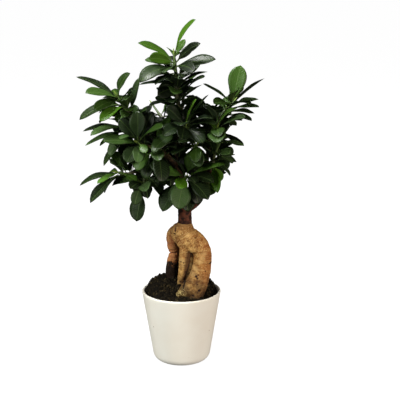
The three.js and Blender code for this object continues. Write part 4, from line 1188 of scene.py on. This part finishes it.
def leaf_points(base, chord, width, arch, front, s, across):
    """Points of an arched leaf at shares s of its length and across its half width."""
    s, across = np.asarray(s, float)[:, None], np.asarray(across, float)[:, None]
    span = np.linalg.norm(chord)
    along = chord / span
    level = unit(np.cross(along, UP))
    above = np.cross(level, along)
    bend, turn = bend_of(arch), turn_of(front, chord)
    length = span * bend / 2 / math.sin(bend / 2)
    stalk = STALK_LENGTH / length
    angle = bend / 2 - bend * s
    forward = length * (math.sin(bend / 2) - np.sin(angle)) / bend
    upward = length * (np.cos(angle) - math.cos(bend / 2)) / bend
    ahead = along * np.cos(angle) + above * np.sin(angle)
    side = level * math.cos(turn) + np.cross(level, ahead) * math.sin(turn)
    face = np.cross(side, ahead)
    u = np.maximum(0, (s - stalk) / (1 - stalk))
    swell = u / BLADE_WIDEST * ((1 - u) / (1 - BLADE_WIDEST)) ** BLADE_BLUNT
    half = np.maximum(STALK_WIDTH / 2 * (1 - u), width / 2 * swell)
    return (base + along * forward + above * upward + side * across * half * math.cos(BLADE_FOLD)
            + face * np.abs(across) * half * math.sin(BLADE_FOLD))


def test_points(base, chord, width, arch, front):
    """Points on the blade, row by row, and then on the stalk, that stand for the whole leaf."""
    span, bend = np.linalg.norm(chord), bend_of(arch)
    stalk = STALK_LENGTH / (span * bend / 2 / math.sin(bend / 2))
    rows = lerp(stalk, 1, (np.arange(TEST_ROWS) + 0.5) / TEST_ROWS)
    places = np.concatenate([np.repeat(rows, len(TEST_ACROSS)), TEST_STALK * stalk])
    across = np.concatenate([np.tile(TEST_ACROSS, TEST_ROWS), np.zeros(len(TEST_STALK))])
    return leaf_points(base, chord, width, arch, front, places, across)


print("test points on a leaf:", BLADE_TESTS + len(TEST_STALK))

# %% [markdown]
# Leaves shade each other and grow apart. So a leaf that would touch one placed before it, or the wood, turns
# aside by the first of a list of turns that leaves it clear, or stays smaller. Comparing each leaf's test
# points with those of all others would be slow, so boxes round them are compared first. Some open channels
# run through the crown, where the photograph shows light between the leaves. They are round, given by x, z
# and radius at y = 0, and all meet in the place that the photograph was taken from.

# %% Finding room for a leaf
LEAF_GAP, STALK_GAP, WOOD_GAP = 4.1, 2.8, 2.0
FREE_REACH, FAR_APART = 12.0, 130.0
LEAF_SIZES = (1, 0.84, 0.7)
TURNS = [
    (0, 0), (8, 0), (-8, 0), (0, 8), (0, -8), (14, 8), (-14, 8), (14, -8), (-14, -8), (22, 0), (-22, 0),
    (0, 18), (0, -18), (24, 14), (-24, 14), (24, -14), (-24, -14), (36, 0), (-36, 0), (0, 30), (0, -30),
    (50, 10), (-50, 10), (60, -15), (-60, -15)]
CHANNELS_MEET = (-1421, 591)
CHANNELS = np.array([
    (-28, 487, 9), (18, 492, 10), (38, 474, 9), (45, 448, 8), (55, 429, 12), (35, 415, 5), (65, 413, 5),
    (22, 411, 5), (24, 423, 4), (103, 410, 6), (52, 403, 6), (41, 400, 6), (-75, 447, 8), (-74, 428, 6),
    (-47, 409, 11), (-54, 396, 6), (-33, 387, 8), (90, 356, 10), (76, 354, 6), (-127, 312, 11),
    (95, 316, 14), (82, 329, 6), (72, 298, 6), (90, 294, 14), (60, 277, 4), (73, 266, 14),
    (56, 240, 16), (-82, 264, 7), (-92, 254, 15), (-85, 227, 8), (-41, 252, 5), (-41, 236, 7)])


def closest(points, others):
    """The smallest distance between two sets of points."""
    if not len(points) or not len(others):
        return math.inf
    return math.sqrt(((points[:, None] - others[None]) ** 2).sum(-1).min())


def in_channel(points):
    """Whether some point lies in one of the crown's open channels."""
    meet_y, meet_z = CHANNELS_MEET
    scale = meet_y / (meet_y - points[:, 1])
    places = np.column_stack([points[:, 0] * scale, lerp(meet_z, points[:, 2], scale)])
    return (np.linalg.norm(places[:, None] - CHANNELS[None, :, :2], axis=2) < CHANNELS[:, 2]).any()


class Room:
    """What is placed so far, and whether a new leaf keeps clear of it."""

    def __init__(self, wood_at, wood_radius):
        """Starts with the wood alone and the gaps that the solids need."""
        self.wood_at, self.wood_radius = wood_at, wood_radius
        self.leaf_gap, self.stalk_gap, self.wood_gap = LEAF_GAP, STALK_GAP, WOOD_GAP
        self.keeps_channels = False
        self.bases, self.tests, self.lows, self.highs = [], [], [], []

    def is_clear(self, base, tests):
        """Whether a leaf with these test points keeps its gaps from leaves, wood and channels."""
        if self.keeps_channels and in_channel(tests):
            return False
        blade, stalk = tests[:BLADE_TESTS], tests[BLADE_TESTS:]
        if self.tests:
            near = np.linalg.norm(np.array(self.bases) - base, axis=1) <= FAR_APART
            near &= (np.array(self.lows) < tests.max(0) + self.leaf_gap).all(1)
            near &= (np.array(self.highs) > tests.min(0) - self.leaf_gap).all(1)
            for i in np.flatnonzero(near):
                other = self.tests[i]
                if (closest(blade, other[:BLADE_TESTS]) < self.leaf_gap
                        or closest(stalk, other[:BLADE_TESTS]) < self.stalk_gap
                        or closest(blade, other[BLADE_TESTS:]) < self.stalk_gap):
                    return False
        far = np.linalg.norm(self.wood_at - base, axis=1) > FREE_REACH
        gaps = np.linalg.norm(self.wood_at[far][:, None] - blade[None], axis=2).min(1)
        return not (gaps < self.wood_radius[far] + self.wood_gap).any()

    def take(self, base, tests):
        """Adds a leaf to what is placed."""
        self.bases.append(base)
        self.tests.append(tests)
        self.lows.append(tests.min(0))
        self.highs.append(tests.max(0))


def spun(vector, axis, degrees):
    """The vector turned about an axis."""
    turn = math.radians(degrees)
    return (vector * math.cos(turn) + np.cross(axis, vector) * math.sin(turn)
            + axis * axis.dot(vector) * (1 - math.cos(turn)))


def settle(room, base, tip, width, arch, front):
    """The first turned place of the leaf that is clear, as its numbers, or None."""
    chord = tip - base
    level = unit(np.cross(chord, UP))
    for size in LEAF_SIZES:
        for sideways, upward in TURNS:
            turned = spun(spun(chord, level, upward), UP, sideways) * size
            tests = test_points(base, turned, width * size, arch, front)
            if room.is_clear(base, tests):
                room.take(base, tests)
                return {"base": base, "chord": turned, "width": width * size, "arch": arch, "front": front}
    return None


print("places tried for a leaf:", len(TURNS) * len(LEAF_SIZES))

# %% [markdown]
# The other leaves of a shoot wind up its stem. In a fig each leaf stands about 137.5 degrees round from the
# last, the golden angle, which shades the leaves below least. A small random generator, started from the
# same number as for the solids, gives each leaf the same stray turn and length there and here.

# %% Leaves that wind up a stem
SEED, GOLDEN_ANGLE = 41, 137.5
MORE_FROM, MORE_SPAN = 0.14, 0.8
MORE_LEAN, MORE_LENGTH = (92, 50), (52, 44)
MORE_RATIO, MORE_ARCH, MORE_FRONT = (0.44, 0.54), (35, 75), (-28, 42)
MORE_STRAY, MORE_STRETCH = 20, (0.84, 1.16)
WORD = 0xFFFFFFFF


def random_from(seed):
    """Numbers from 0 to 1, the same on every run."""
    state = seed
    while True:
        state = (state + 0x6D2B79F5) & WORD
        mixed = ((state ^ (state >> 15)) * (1 | state)) & WORD
        mixed ^= (mixed + ((mixed ^ (mixed >> 7)) * (61 | mixed) & WORD)) & WORD
        yield ((mixed ^ (mixed >> 14)) & WORD) / (WORD + 1)


def point_along(at, share):
    """Point and direction at a share of the way along stations."""
    steps = np.linalg.norm(np.diff(at, axis=0), axis=1)
    left, i = share * steps.sum(), 0
    while i < len(steps) - 1 and left > steps[i]:
        left -= steps[i]
        i += 1
    return at[i] + (at[i + 1] - at[i]) * left / steps[i], unit(at[i + 1] - at[i])


def winding_leaves(at, count, numbers, first=MORE_FROM, span=MORE_SPAN):
    """Each leaf's share of the way up the stem, its base and tip, its width, arch and turn to the front."""
    for i in range(count):
        share = first + span * (i + 0.5) / count
        base, ahead = point_along(at, share)
        level = unit(np.cross(ahead, UP))
        above = np.cross(level, ahead)
        around = math.radians(i * GOLDEN_ANGLE + lerp(-MORE_STRAY, MORE_STRAY, next(numbers)))
        lean = math.radians(lerp(*MORE_LEAN, share) + lerp(-MORE_STRAY, MORE_STRAY, next(numbers)) / 2)
        length = lerp(*MORE_LENGTH, share) * lerp(*MORE_STRETCH, next(numbers))
        chord = length * (ahead * math.cos(lean) + level * math.sin(lean) * math.sin(around)
                          + above * math.sin(lean) * math.cos(around))
        width = length * lerp(*MORE_RATIO, next(numbers))
        arch, front = lerp(*MORE_ARCH, next(numbers)), lerp(*MORE_FRONT, next(numbers))
        yield share, base, base + chord, width, arch, front


# %% [markdown]
# All leaves are placed in one order, the same as in the solids: first the aimed leaves of every shoot, then
# the winding ones, which also keep out of the channels. A leaf that finds no room is left out. Each one that
# stays gets its youth, a tone and a wave, so that no two look alike.

# %% Place every leaf
BUD_TESTS = (0.4, 0.9)
WOOD_SPACING = 4
TONE_SEED = 7
YOUNG_FROM, YOUNG_RISE, YOUNG_STRAY = 0.7, 1.6, 0.25


def dressed(leaf, youth, tones):
    """The placed leaf with its youth, and with a tone and a wave of its own."""
    return {**leaf, "youth": youth, "tone": tones.random(), "wave": tones.random()}


def wood_room():
    """Room for leaves round all the wood and the buds."""
    rows = [*ROOTS.values(), *BRANCHES.values(), *map(shoot_row, SHOOTS)]
    near_wood = [stations_along(row, WOOD_SPACING)[:2] for row in rows]
    wood_at = np.vstack([at for at, _ in near_wood])
    wood_radius = np.concatenate([radius for _, radius in near_wood])
    for name in SHOOTS:
        at, _, ahead = stations_along(shoot_row(name), SHOOT_SPACING)
        for share in BUD_TESTS:
            wood_at = np.vstack([wood_at, at[-1] + ahead[-1] * BUD_LENGTH * share])
            wood_radius = np.append(wood_radius, SHOOT_TIP)
    return Room(wood_at, wood_radius)


def place_leaves(room):
    """All leaves of each shoot that find room."""
    stems = {name: stations_along(shoot_row(name), SHOOT_SPACING)[0] for name in SHOOTS}
    placed = {name: [] for name in SHOOTS}
    tones, numbers = np.random.default_rng(TONE_SEED), random_from(SEED)
    for name, (_, _, leaves) in SHOOTS.items():
        for share, x, y, z, width, arch, front, youth in leaves:
            base = point_along(stems[name], share)[0]
            leaf = settle(room, base, np.array([x, y, z], float), width, arch, front)
            if leaf:
                placed[name].append(dressed(leaf, youth, tones))
    room.keeps_channels = True
    for name, (_, more, _) in SHOOTS.items():
        for share, *sizes in winding_leaves(stems[name], more, numbers):
            leaf = settle(room, *sizes)
            if leaf:
                youth = max(0, share - YOUNG_FROM) * YOUNG_RISE + YOUNG_STRAY * tones.random() ** 2
                placed[name].append(dressed(leaf, youth, tones))
    return placed


room = wood_room()
placed = place_leaves(room)
print("leaves placed:", sum(len(leaves) for leaves in placed.values()))

# %% [markdown]
# The real crown is so full that it hides its own branches. The solids hold only the leaves that their
# outline needs, so more are grown here between them, on the same stems and on the last of each branch. They
# are thinner than in the solids, and so they may lie closer together. They keep out of the same channels.

# %% Fill the crown
FILL_SEED, FILL_TONE_SEED = 5, 11
FILL_SPACING, FILL_YOUTH = 12, 0.2
FILL_GAPS = (2.5, 1.8, 1.2)
FILL_FROM, FILL_SPAN = 0.02, 0.9
FILL_ROWS = 2
FILL_COUNT = {"top": 30, "rightTop": 16, "rightLow": 16, "centre": 16, "centreLow": 16, "leftTop": 16}
FILL_USUAL = 12
FILL_LONGER = {"top": 4, "rightLow": 3, "leftTop": 3}


def fill_crown(placed, room):
    """Adds leaves to each shoot, wherever a thinner leaf finds room."""
    room.leaf_gap, room.stalk_gap, room.wood_gap = FILL_GAPS
    tones, numbers = np.random.default_rng(FILL_TONE_SEED), random_from(FILL_SEED)
    for name in SHOOTS:
        branch = BRANCHES[name][-FILL_LONGER.get(name, FILL_ROWS):]
        at = stations_along([*branch, *shoot_row(name)[1:]], FILL_SPACING)[0]
        count = FILL_COUNT.get(name, FILL_USUAL)
        for _, *sizes in winding_leaves(at, count, numbers, FILL_FROM, FILL_SPAN):
            leaf = settle(room, *sizes)
            if leaf:
                youth = FILL_YOUTH * tones.random() ** 3
                placed[name].append(dressed(leaf, youth, tones))


fill_crown(placed, room)
print("leaves with the fill:", sum(len(leaves) for leaves in placed.values()))

# %% [markdown]
# Geometry Nodes grow the blades. A shoot comes in as bare points, one a leaf, that carry its numbers. Each
# point gets a flat sheet of two layers, and once they are real, the rule of the leaf moves every point of
# the sheet to its place: an arch along, a fold across, a round stalk, a midrib that stands out below, and a
# little wave along the edge. The edges are then merged, so each leaf is a closed, thin body.

# %% A tree that grows leaves
BLADE_INPUTS = {
    "Rows": ("Int", 11), "Columns": ("Int", 5), "Stalk length": ("Float", STALK_LENGTH * MM),
    "Stalk width": ("Float", STALK_WIDTH * MM), "Thickness": ("Float", 0.8 * MM),
    "Widest": ("Float", BLADE_WIDEST), "Bluntness": ("Float", BLADE_BLUNT), "Fold": ("Float", BLADE_FOLD),
    "Midrib": ("Float", 0.55 * MM), "Wave": ("Float", 0.7 * MM),
}
CLOSER_ROWS = 0.25


def leaf_sheet(start, given):
    """A flat sheet of two layers that carries s along it, across it and which layer it is.

    Its rows lie closer together towards the tip, where the outline is roundest."""
    size = {"Size X": 1.0, "Size Y": 1.0, "Vertices X": given["Rows"], "Vertices Y": given["Columns"]}
    grid = start.node("GeometryNodeMeshGrid", None, size, "Mesh")
    place = start.node("GeometryNodeInputPosition")
    x, y = part_of(place, "X") + 0.5, part_of(place, "Y")
    sheet = store(start, grid, "s", x * (1 + CLOSER_ROWS - CLOSER_ROWS * x))
    sheet = store(start, sheet, "across", (y * -math.pi).math("SINE"))
    top = store(start, sheet, "layer", 1.0, "FACE")
    lower = store(start, sheet, "layer", -1.0, "FACE")
    under = start.node("GeometryNodeFlipFaces", None, {"Mesh": lower})
    return start.node("GeometryNodeJoinGeometry", None, {"Geometry": [top, under]})


def named(start, name, kind="FLOAT"):
    """A value that the points carry, inside a geometry tree."""
    return start.node("GeometryNodeInputNamedAttribute", {"data_type": kind}, {"Name": name}, "Attribute")


# %% [markdown]
# The rule of the leaf follows once more, now as nodes. It gives the same middle surface as the rule above,
# and adds what makes a real blade: the sheet's thickness, a stalk that is round, a midrib, the wave, and a
# tip that thins out. At the very base both layers run together into one point, so that the leaf closes.

# %% The rule of a leaf, as nodes
CLOSES_AT_BASE, STALK_FADES, RIB_NARROW, RIB_ABOVE = 400, 9, 4.5, 0.45
WAVES, WAVE_START, WAVE_SLANT = 9, 6.28, 1.2
TIP_THINS, NOT_THE_TIP = 0.75, 0.9999


def leaf_lift(start, given, u, across, opening):
    """How far a point lies above the middle surface: half the thickness, the midrib and the wave."""
    layer, away = named(start, "layer"), across.math("ABSOLUTE")
    edge = (1 - across * across).math("MAXIMUM", 0.0).math("SQRT")
    stalky = (1 - u * STALK_FADES).math("MAXIMUM", 0.0)
    thick = given["Thickness"] * 0.5 * (1 - stalky) + given["Stalk width"] * 0.5 * stalky
    rib = (1 - away * RIB_NARROW).math("MAXIMUM", 0.0) * (1 - u) * u.ease(0.0, 0.08) * given["Midrib"]
    rib_lift = rib * (layer * -0.5 + 0.5) * -1 - rib * RIB_ABOVE * (layer * 0.5 + 0.5)
    waving = (u * WAVES + named(start, "wave") * WAVE_START + across * WAVE_SLANT).math("SINE")
    wave = waving * away * away * given["Wave"] * u.ease(0.05, 0.3)
    body = layer * thick * opening * edge * (1 - TIP_THINS * u ** 8)
    return (body + rib_lift + wave * (1 - u ** 6)) * u.math("LESS_THAN", NOT_THE_TIP)


def leaf_place(start, given):
    """Gives the point's place, its share u along the blade and the half width there."""
    chord, base = named(start, "chord", "FLOAT_VECTOR"), named(start, "base", "FLOAT_VECTOR")
    bend, turn, width = named(start, "bend"), named(start, "turn"), named(start, "width")
    s, across = named(start, "s"), named(start, "across")
    along = chord.turn("NORMALIZE")
    level = along.turn("CROSS_PRODUCT", (0, 0, 1)).turn("NORMALIZE")
    above = level.turn("CROSS_PRODUCT", along)
    half_bend = bend * 0.5
    length = chord.turn("LENGTH", out="Value") * half_bend / half_bend.math("SINE")
    stalk = given["Stalk length"] / length
    angle = half_bend - bend * s
    sine, cosine = angle.math("SINE"), angle.math("COSINE")
    forward = length * (half_bend.math("SINE") - sine) / bend
    upward = length * (cosine - half_bend.math("COSINE")) / bend
    ahead = along * cosine + above * sine
    side = level * turn.math("COSINE") + level.turn("CROSS_PRODUCT", ahead) * turn.math("SINE")
    face = side.turn("CROSS_PRODUCT", ahead)
    u = ((s - stalk) / (1 - stalk)).math("MAXIMUM", 0.0)
    swell = u / given["Widest"] * ((1 - u) / (1 - given["Widest"])) ** given["Bluntness"]
    opening = (s * CLOSES_AT_BASE).math("MINIMUM", 1.0)
    round_half = given["Stalk width"] * 0.5 * (1 - u)
    half = round_half.math("MAXIMUM", width * 0.5 * swell) * opening
    outward = across * half * given["Fold"].math("COSINE")
    cup = (across.math("ABSOLUTE") ** 1.5) * half * given["Fold"].math("SINE")
    raised = cup + leaf_lift(start, given, u, across, opening)
    return base + along * forward + above * upward + side * outward + face * raised, u, half


# %% [markdown]
# The whole tree is short now: a sheet goes on every point, the sheets are made real, each point of them
# moves to its place, and the two layers are merged where their edges meet. What the finish reads, such as
# the share along the blade, is stored before the points move.

# %% The whole leaf tree
EDGES_MEET = 0.02


def leaf_tree():
    """A sheet on every point, bent by the rule and closed along its edges."""
    kinds = {label: kind for label, (kind, _) in BLADE_INPUTS.items()}
    tree, given, keys = tree_with("leaves_of_a_shoot", {**kinds, "Material": "Material"})
    start = given["Geometry"]
    sheet_on_each = {"Points": start, "Instance": leaf_sheet(start, given)}
    sheets = start.node("GeometryNodeInstanceOnPoints", None, sheet_on_each)
    sheets = start.node("GeometryNodeRealizeInstances", None, {"Geometry": sheets})
    place, u, half = leaf_place(start, given)
    sheets = store(start, sheets, "blade", u)
    sheets = store(start, sheets, "half", half)
    moved = start.node("GeometryNodeSetPosition", None, {"Geometry": sheets, "Position": place})
    whole = start.node("GeometryNodeMergeByDistance", None, {"Geometry": moved, "Distance": EDGES_MEET * MM})
    smooth = start.node("GeometryNodeSetShadeSmooth", None, {"Geometry": whole})
    finish_tree(start, smooth, given["Material"])
    return tree, keys


leaves_tree, leaf_keys = leaf_tree()
print("leaf tree nodes:", len(leaves_tree.nodes))

# %% [markdown]
# The upper face of a fig leaf is dark, waxy green with a fine pale midrib and a paler edge that is a painted
# highlight, dusted by a little scurf that also stands for painted sheen, and the underside is paler and dull.
# New leaves are bright yellow green. Leaves deep in the crown are painted darker, as painted shade, and those
# low on it a little paler, as painted light. Each leaf carries its youth and tone, and the two layers of its
# sheet tell the upper face from the lower, so one material serves all.

# %% Leaf finish
CROWN_HEART = (-0.010, 0.0, 0.365)
OLDEST, OLD_PALE, DUST_AND_SHEEN = (0.0019, 0.0042, 0.0017), (0.0360, 0.0700, 0.0200), (0.046, 0.074, 0.030)
NEW_GREEN, NEW_YELLOW = (0.027, 0.068, 0.0034), (0.052, 0.142, 0.0048)
RIB_GREEN, VEIN_GREEN, STALK_GREEN = (0.110, 0.180, 0.050), (0.080, 0.140, 0.040), (0.070, 0.110, 0.022)
UNDER_OLD, UNDER_NEW, UNDER_RIB = (0.013, 0.022, 0.009), (0.060, 0.130, 0.012), (0.130, 0.200, 0.060)
VEINS, VEIN_SLANT, RIB_WIDTH = 13, 2.4, 0.55


def leaf_lines(start):
    """The midrib and the side veins of a blade, each from 0 to 1."""
    u, half, away = stored(start, "blade"), stored(start, "half"), stored(start, "across").math("ABSOLUTE")
    rib = 1 - (away * half / (RIB_WIDTH * MM)).ease(0.3, 1.2)
    rib = rib * u.ease(0.0, 0.05) * (1 - u.ease(0.85, 1.0))
    slant = u * VEINS - away * VEIN_SLANT
    vein = 1 - (slant.math("FRACT") - 0.5).math("ABSOLUTE").ease(0.02, 0.16)
    return rib, vein * away.ease(0.05, 0.2) * (1 - away.ease(0.8, 1.0)) * u.ease(0.08, 0.2)


def upper_face(start, place, cloud, rib, vein):
    """The colour of a blade from above."""
    youth, tone = stored(start, "youth"), stored(start, "tone")
    away = stored(start, "across").math("ABSOLUTE")
    # painted shade: leaves near the crown's heart are painted darker, and their midrib, veins and edge
    # fainter
    heart_shade = 1 - place.turn("SUBTRACT", CROWN_HEART).turn("LENGTH", out="Value").ease(0.040, 0.095)
    # painted light: leaves low on the crown are painted paler
    low = 1 - part_of(place, "Z").ease(0.300, 0.345)
    pale = (tone ** 2.5) * (1 - heart_shade * 0.85) * (1 + low * 0.6) * (1 + youth).math("MINIMUM", 1.0)
    # the scurf is grey dust and also painted sheen, strongest on the paler leaves
    scurf = cloud.ease(0.4, 0.75) * 0.35 + grain(start, place, 520.0, 2.0, 0.6).ease(0.48, 0.68) * 0.45
    dust_and_sheen = scurf * (0.2 * (1 - heart_shade * 0.7) + pale)
    # painted highlight: a paler band along the blade's edge
    edge = away.ease(0.86, 0.97) * 0.35 * (1 - heart_shade)
    old = dust_and_sheen.math("MAXIMUM", edge).mix(pale.mix(OLDEST, OLD_PALE), DUST_AND_SHEEN)
    colour = youth.mix(old, tone.mix(NEW_GREEN, NEW_YELLOW))
    colour = (rib * 0.4 * (1 - heart_shade * 0.5)).mix(colour, RIB_GREEN)
    return (vein * 0.22 * (1 - heart_shade * 0.6)).mix(colour, VEIN_GREEN)


def make_leaf_finish():
    """One finish for both faces and the stalk of every leaf."""
    material, shader, start = new_material("fig_leaf", Specular_IOR_Level=0.14)
    place = object_place(start)
    cloud = grain(start, place, 160.0, 3.0)
    rib, vein = leaf_lines(start)
    below = (rib * 0.6).mix(stored(start, "youth").mix(UNDER_OLD, UNDER_NEW), UNDER_RIB)
    under = (stored(start, "layer") * -0.5 + 0.5).ease(0.3, 0.7)
    both = under.mix(upper_face(start, place, cloud, rib, vein), below)
    stalk = 1 - stored(start, "blade").ease(0.0, 0.05)
    feed(shader, "Base Color", (stalk * 0.85).mix(both, STALK_GREEN))
    feed(shader, "Roughness", 0.27 + 0.14 * cloud + 0.26 * under - 0.04 * rib)
    feed(shader, "Normal", bump(start, vein * 0.5 + cloud * 0.3 - rib * 0.6, 0.0004, 0.6))
    return material


leaf_finish = make_leaf_finish()
print("leaf finish nodes:", len(leaf_finish.node_tree.nodes))

# %% [markdown]
# The stem of a shoot is green, woody at its foot, and ends in a pointed bud wrapped in its own scale, as
# every fig's does. It is a tube along the shoot's row, a little swollen at each leaf's foot.

# %% Stems with buds
STEM_SIDES, STEM_SPACING = 10, 2.5
STEM_SINKS, STEM_FOOT = 1.2, 0.96
KNOT_SWELL, KNOT_REACH = 0.28, 2.2
BUD_SHARES = np.array([0.06, 0.2, 0.4, 0.6, 0.78, 0.9, 0.98])
BUD_SWELL = np.array([1.0, 1.12, 1.02, 0.78, 0.5, 0.27, 0.08]) * SHOOT_TIP
WOODY_DARK, WOODY_PALE = (0.040, 0.036, 0.018), (0.090, 0.080, 0.036)
STEM_GREEN, BUD_GREEN = (0.060, 0.105, 0.022), (0.180, 0.260, 0.040)


def make_stem(name, leaves):
    """The stem's mesh, from a foot inside its branch to the tip of its bud, with its youth along it."""
    at, radius, ahead = stations_along(shoot_row(name), STEM_SPACING)
    foot, forward = at[0] - ahead[0] * STEM_SINKS, ahead[-1]
    at, radius = np.vstack([foot, at]), np.append(radius[0] * STEM_FOOT, radius)
    for leaf in leaves:
        gap = np.linalg.norm(at - leaf["base"], axis=1)
        radius = radius + KNOT_SWELL * np.exp(-(gap / KNOT_REACH) ** 2)
    youth = np.append(np.linspace(0, 0.7, len(at)), np.linspace(0.8, 1, len(BUD_SHARES)))
    at = np.vstack([at, at[-1] + forward * BUD_LENGTH * BUD_SHARES[:, None]])
    radius = np.append(radius, BUD_SWELL)
    ahead = np.vstack([ahead[:1], ahead, np.tile(forward, (len(BUD_SHARES), 1))])
    mesh = mesh_of("stem_" + name, [tube(at, radius, ahead, STEM_SIDES)])
    carry(mesh, "youth", np.append(np.repeat(youth, STEM_SIDES), [0, 1]))
    return mesh


def make_young_bark():
    """The green finish of a stem and its bud."""
    material, shader, start = new_material("young_stem", Specular_IOR_Level=0.4)
    place = object_place(start)
    cloud = grain(start, place, 300.0, 3.0)
    youth = stored(start, "youth")
    woody = cloud.ease(0.35, 0.7).mix(WOODY_DARK, WOODY_PALE)
    green = youth.ease(0.1, 0.6).mix(woody, STEM_GREEN)
    feed(shader, "Base Color", youth.ease(0.72, 0.95).mix(green, BUD_GREEN))
    feed(shader, "Roughness", 0.45 + 0.15 * cloud)
    feed(shader, "Normal", bump(start, cloud, 0.0005, 0.5))
    return material


young_bark = make_young_bark()
print("young stem nodes:", len(young_bark.node_tree.nodes))

# %% [markdown]
# Each shoot is one piece: its leaves from the tree, joined with its stem. It replaces the shoot's solid, and
# rides on the plant's only body.

# %% Grow the shoots
def leaf_starts(leaves):
    """A mesh of bare points, one a leaf, that carry the leaf's numbers."""
    points = np.array([leaf["base"] for leaf in leaves]) * MM
    mesh = bpy.data.meshes.new("leaf_points")
    mesh.from_pydata(points, [], [])
    carry(mesh, "base", points, "FLOAT_VECTOR")
    carry(mesh, "chord", [leaf["chord"] * MM for leaf in leaves], "FLOAT_VECTOR")
    carry(mesh, "width", [leaf["width"] * MM for leaf in leaves])
    carry(mesh, "bend", [bend_of(leaf["arch"]) for leaf in leaves])
    carry(mesh, "turn", [turn_of(leaf["front"], leaf["chord"]) for leaf in leaves])
    for key in ("youth", "tone", "wave"):
        carry(mesh, key, [leaf[key] for leaf in leaves])
    return mesh


def grow(name, leaves):
    """The shoot as one piece."""
    piece = show("leaves_" + name, leaf_starts(leaves))
    modifier = piece.modifiers.new("leaves", "NODES")
    modifier.node_group = leaves_tree
    for label, (_, value) in BLADE_INPUTS.items():
        modifier[leaf_keys[label]] = value
    modifier[leaf_keys["Material"]] = leaf_finish
    settled(piece)
    stem = show("stem_" + name, make_stem(name, leaves))
    stem.data.materials.append(young_bark)
    with bpy.context.temp_override(active_object=piece, selected_editable_objects=[piece, stem]):
        bpy.ops.object.join()
    piece.name = "shoot_leaves_" + name
    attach(piece, "root")
    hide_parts("shoot_" + name)
    return piece


shoots = [grow(name, leaves) for name, leaves in placed.items()]
print("shoot faces:", sum(len(piece.data.polygons) for piece in shoots))

# %% [markdown]
# A pale floor carries the pot, and a round backdrop of the same brightness closes the view behind it. Both
# glow by themselves, so that they stay even and pale. The leaves are dark and glossy, so neither is mirrored
# in them, or the reflection would wash the green out.

# %% Floor and backdrop
STAGE_REACH = 24.0
STAGE_GLOW = 0.97
BACKDROP_SIDES, BACKDROP_RISES = 48, (-4, 15, 35, 60, 85)


def stage_piece(name, points, faces, grey, **fixed):
    """A piece of the stage, lit mostly by its own pale glow, that the plant doesn't mirror."""
    mesh = bpy.data.meshes.new(name)
    mesh.from_pydata(points, [], faces)
    material, shader, _ = new_material(name + "_pale", Emission_Strength=STAGE_GLOW, **fixed)
    shader.inputs["Base Color"].default_value = (grey, grey, grey, 1)
    shader.inputs["Emission Color"].default_value = (1, 1, 1, 1)
    mesh.materials.append(material)
    piece = show(name, mesh)
    piece.visible_diffuse = piece.visible_glossy = False
    return piece


def make_stage():
    """A floor, and a round backdrop that casts no shadow."""
    reach, count = STAGE_REACH, BACKDROP_SIDES
    corners = [(-reach, -reach, 0), (reach, -reach, 0), (reach, reach, 0), (-reach, reach, 0)]
    floor = stage_piece("floor", corners, [(0, 1, 2, 3)], 0.1, Roughness=0.9, Specular_IOR_Level=0.1)
    rings = [(reach * math.cos(rise), reach * math.sin(rise)) for rise in np.radians(BACKDROP_RISES)]
    points = [(wide * math.cos(t), wide * math.sin(t), tall) for wide, tall in rings for t in circle(count)]
    faces = []
    for i in range(len(rings) - 1):
        for j in range(count):
            a, b = i * count + j, i * count + (j + 1) % count
            faces.append((a, b, b + count, a + count))
    backdrop = stage_piece("backdrop", points, faces, 0, Roughness=1.0)
    backdrop.visible_shadow = False
    print("stage faces:", len(floor.data.polygons) + len(backdrop.data.polygons))


make_stage()

# %% [markdown]
# Three soft boxes light the plant, each a rectangle that glows towards a target: the main one from the left
# and in front, a warm weak one from the right, low down, and a small but strong one above for the upper
# leaves. The world is a dim white that leaves don't mirror.

# %% Light
CENTRE = (0, 0, 0.25)
WORLD_STRENGTH = 0.22


def soft_box(name, place, target, size, watts, colour):
    """An area light that looks at its target."""
    lamp = bpy.data.lights.new(name, "AREA")
    lamp.shape, lamp.size, lamp.size_y = "RECTANGLE", *size
    lamp.energy, lamp.color = watts, colour
    piece = bpy.data.objects.new(name, lamp)
    bpy.context.collection.objects.link(piece)
    piece.location = place
    piece.rotation_euler = (Vector(target) - Vector(place)).to_track_quat("-Z", "Y").to_euler()


soft_box("key", (-1.5, -1.2, 1.25), CENTRE, (1.0, 1.0), 46, (1.0, 0.99, 0.94))
soft_box("fill", (1.5, -1.1, 0.5), (0, 0, 0.12), (0.7, 0.7), 24, (1.0, 0.87, 0.76))
soft_box("above", (-0.45, -0.05, 1.85), CENTRE, (0.4, 0.4), 54, (1.0, 1.0, 0.98))
world = bpy.data.worlds.new("studio")
bpy.context.scene.world = world
world.use_nodes = True
background = world.node_tree.nodes["Background"]
background.inputs["Color"].default_value = (1, 1, 1, 1)
background.inputs["Strength"].default_value = WORLD_STRENGTH
world.cycles_visibility.glossy = False
bpy.context.scene.view_settings.view_transform = "Standard"
print("lamps:", len(bpy.data.lights))
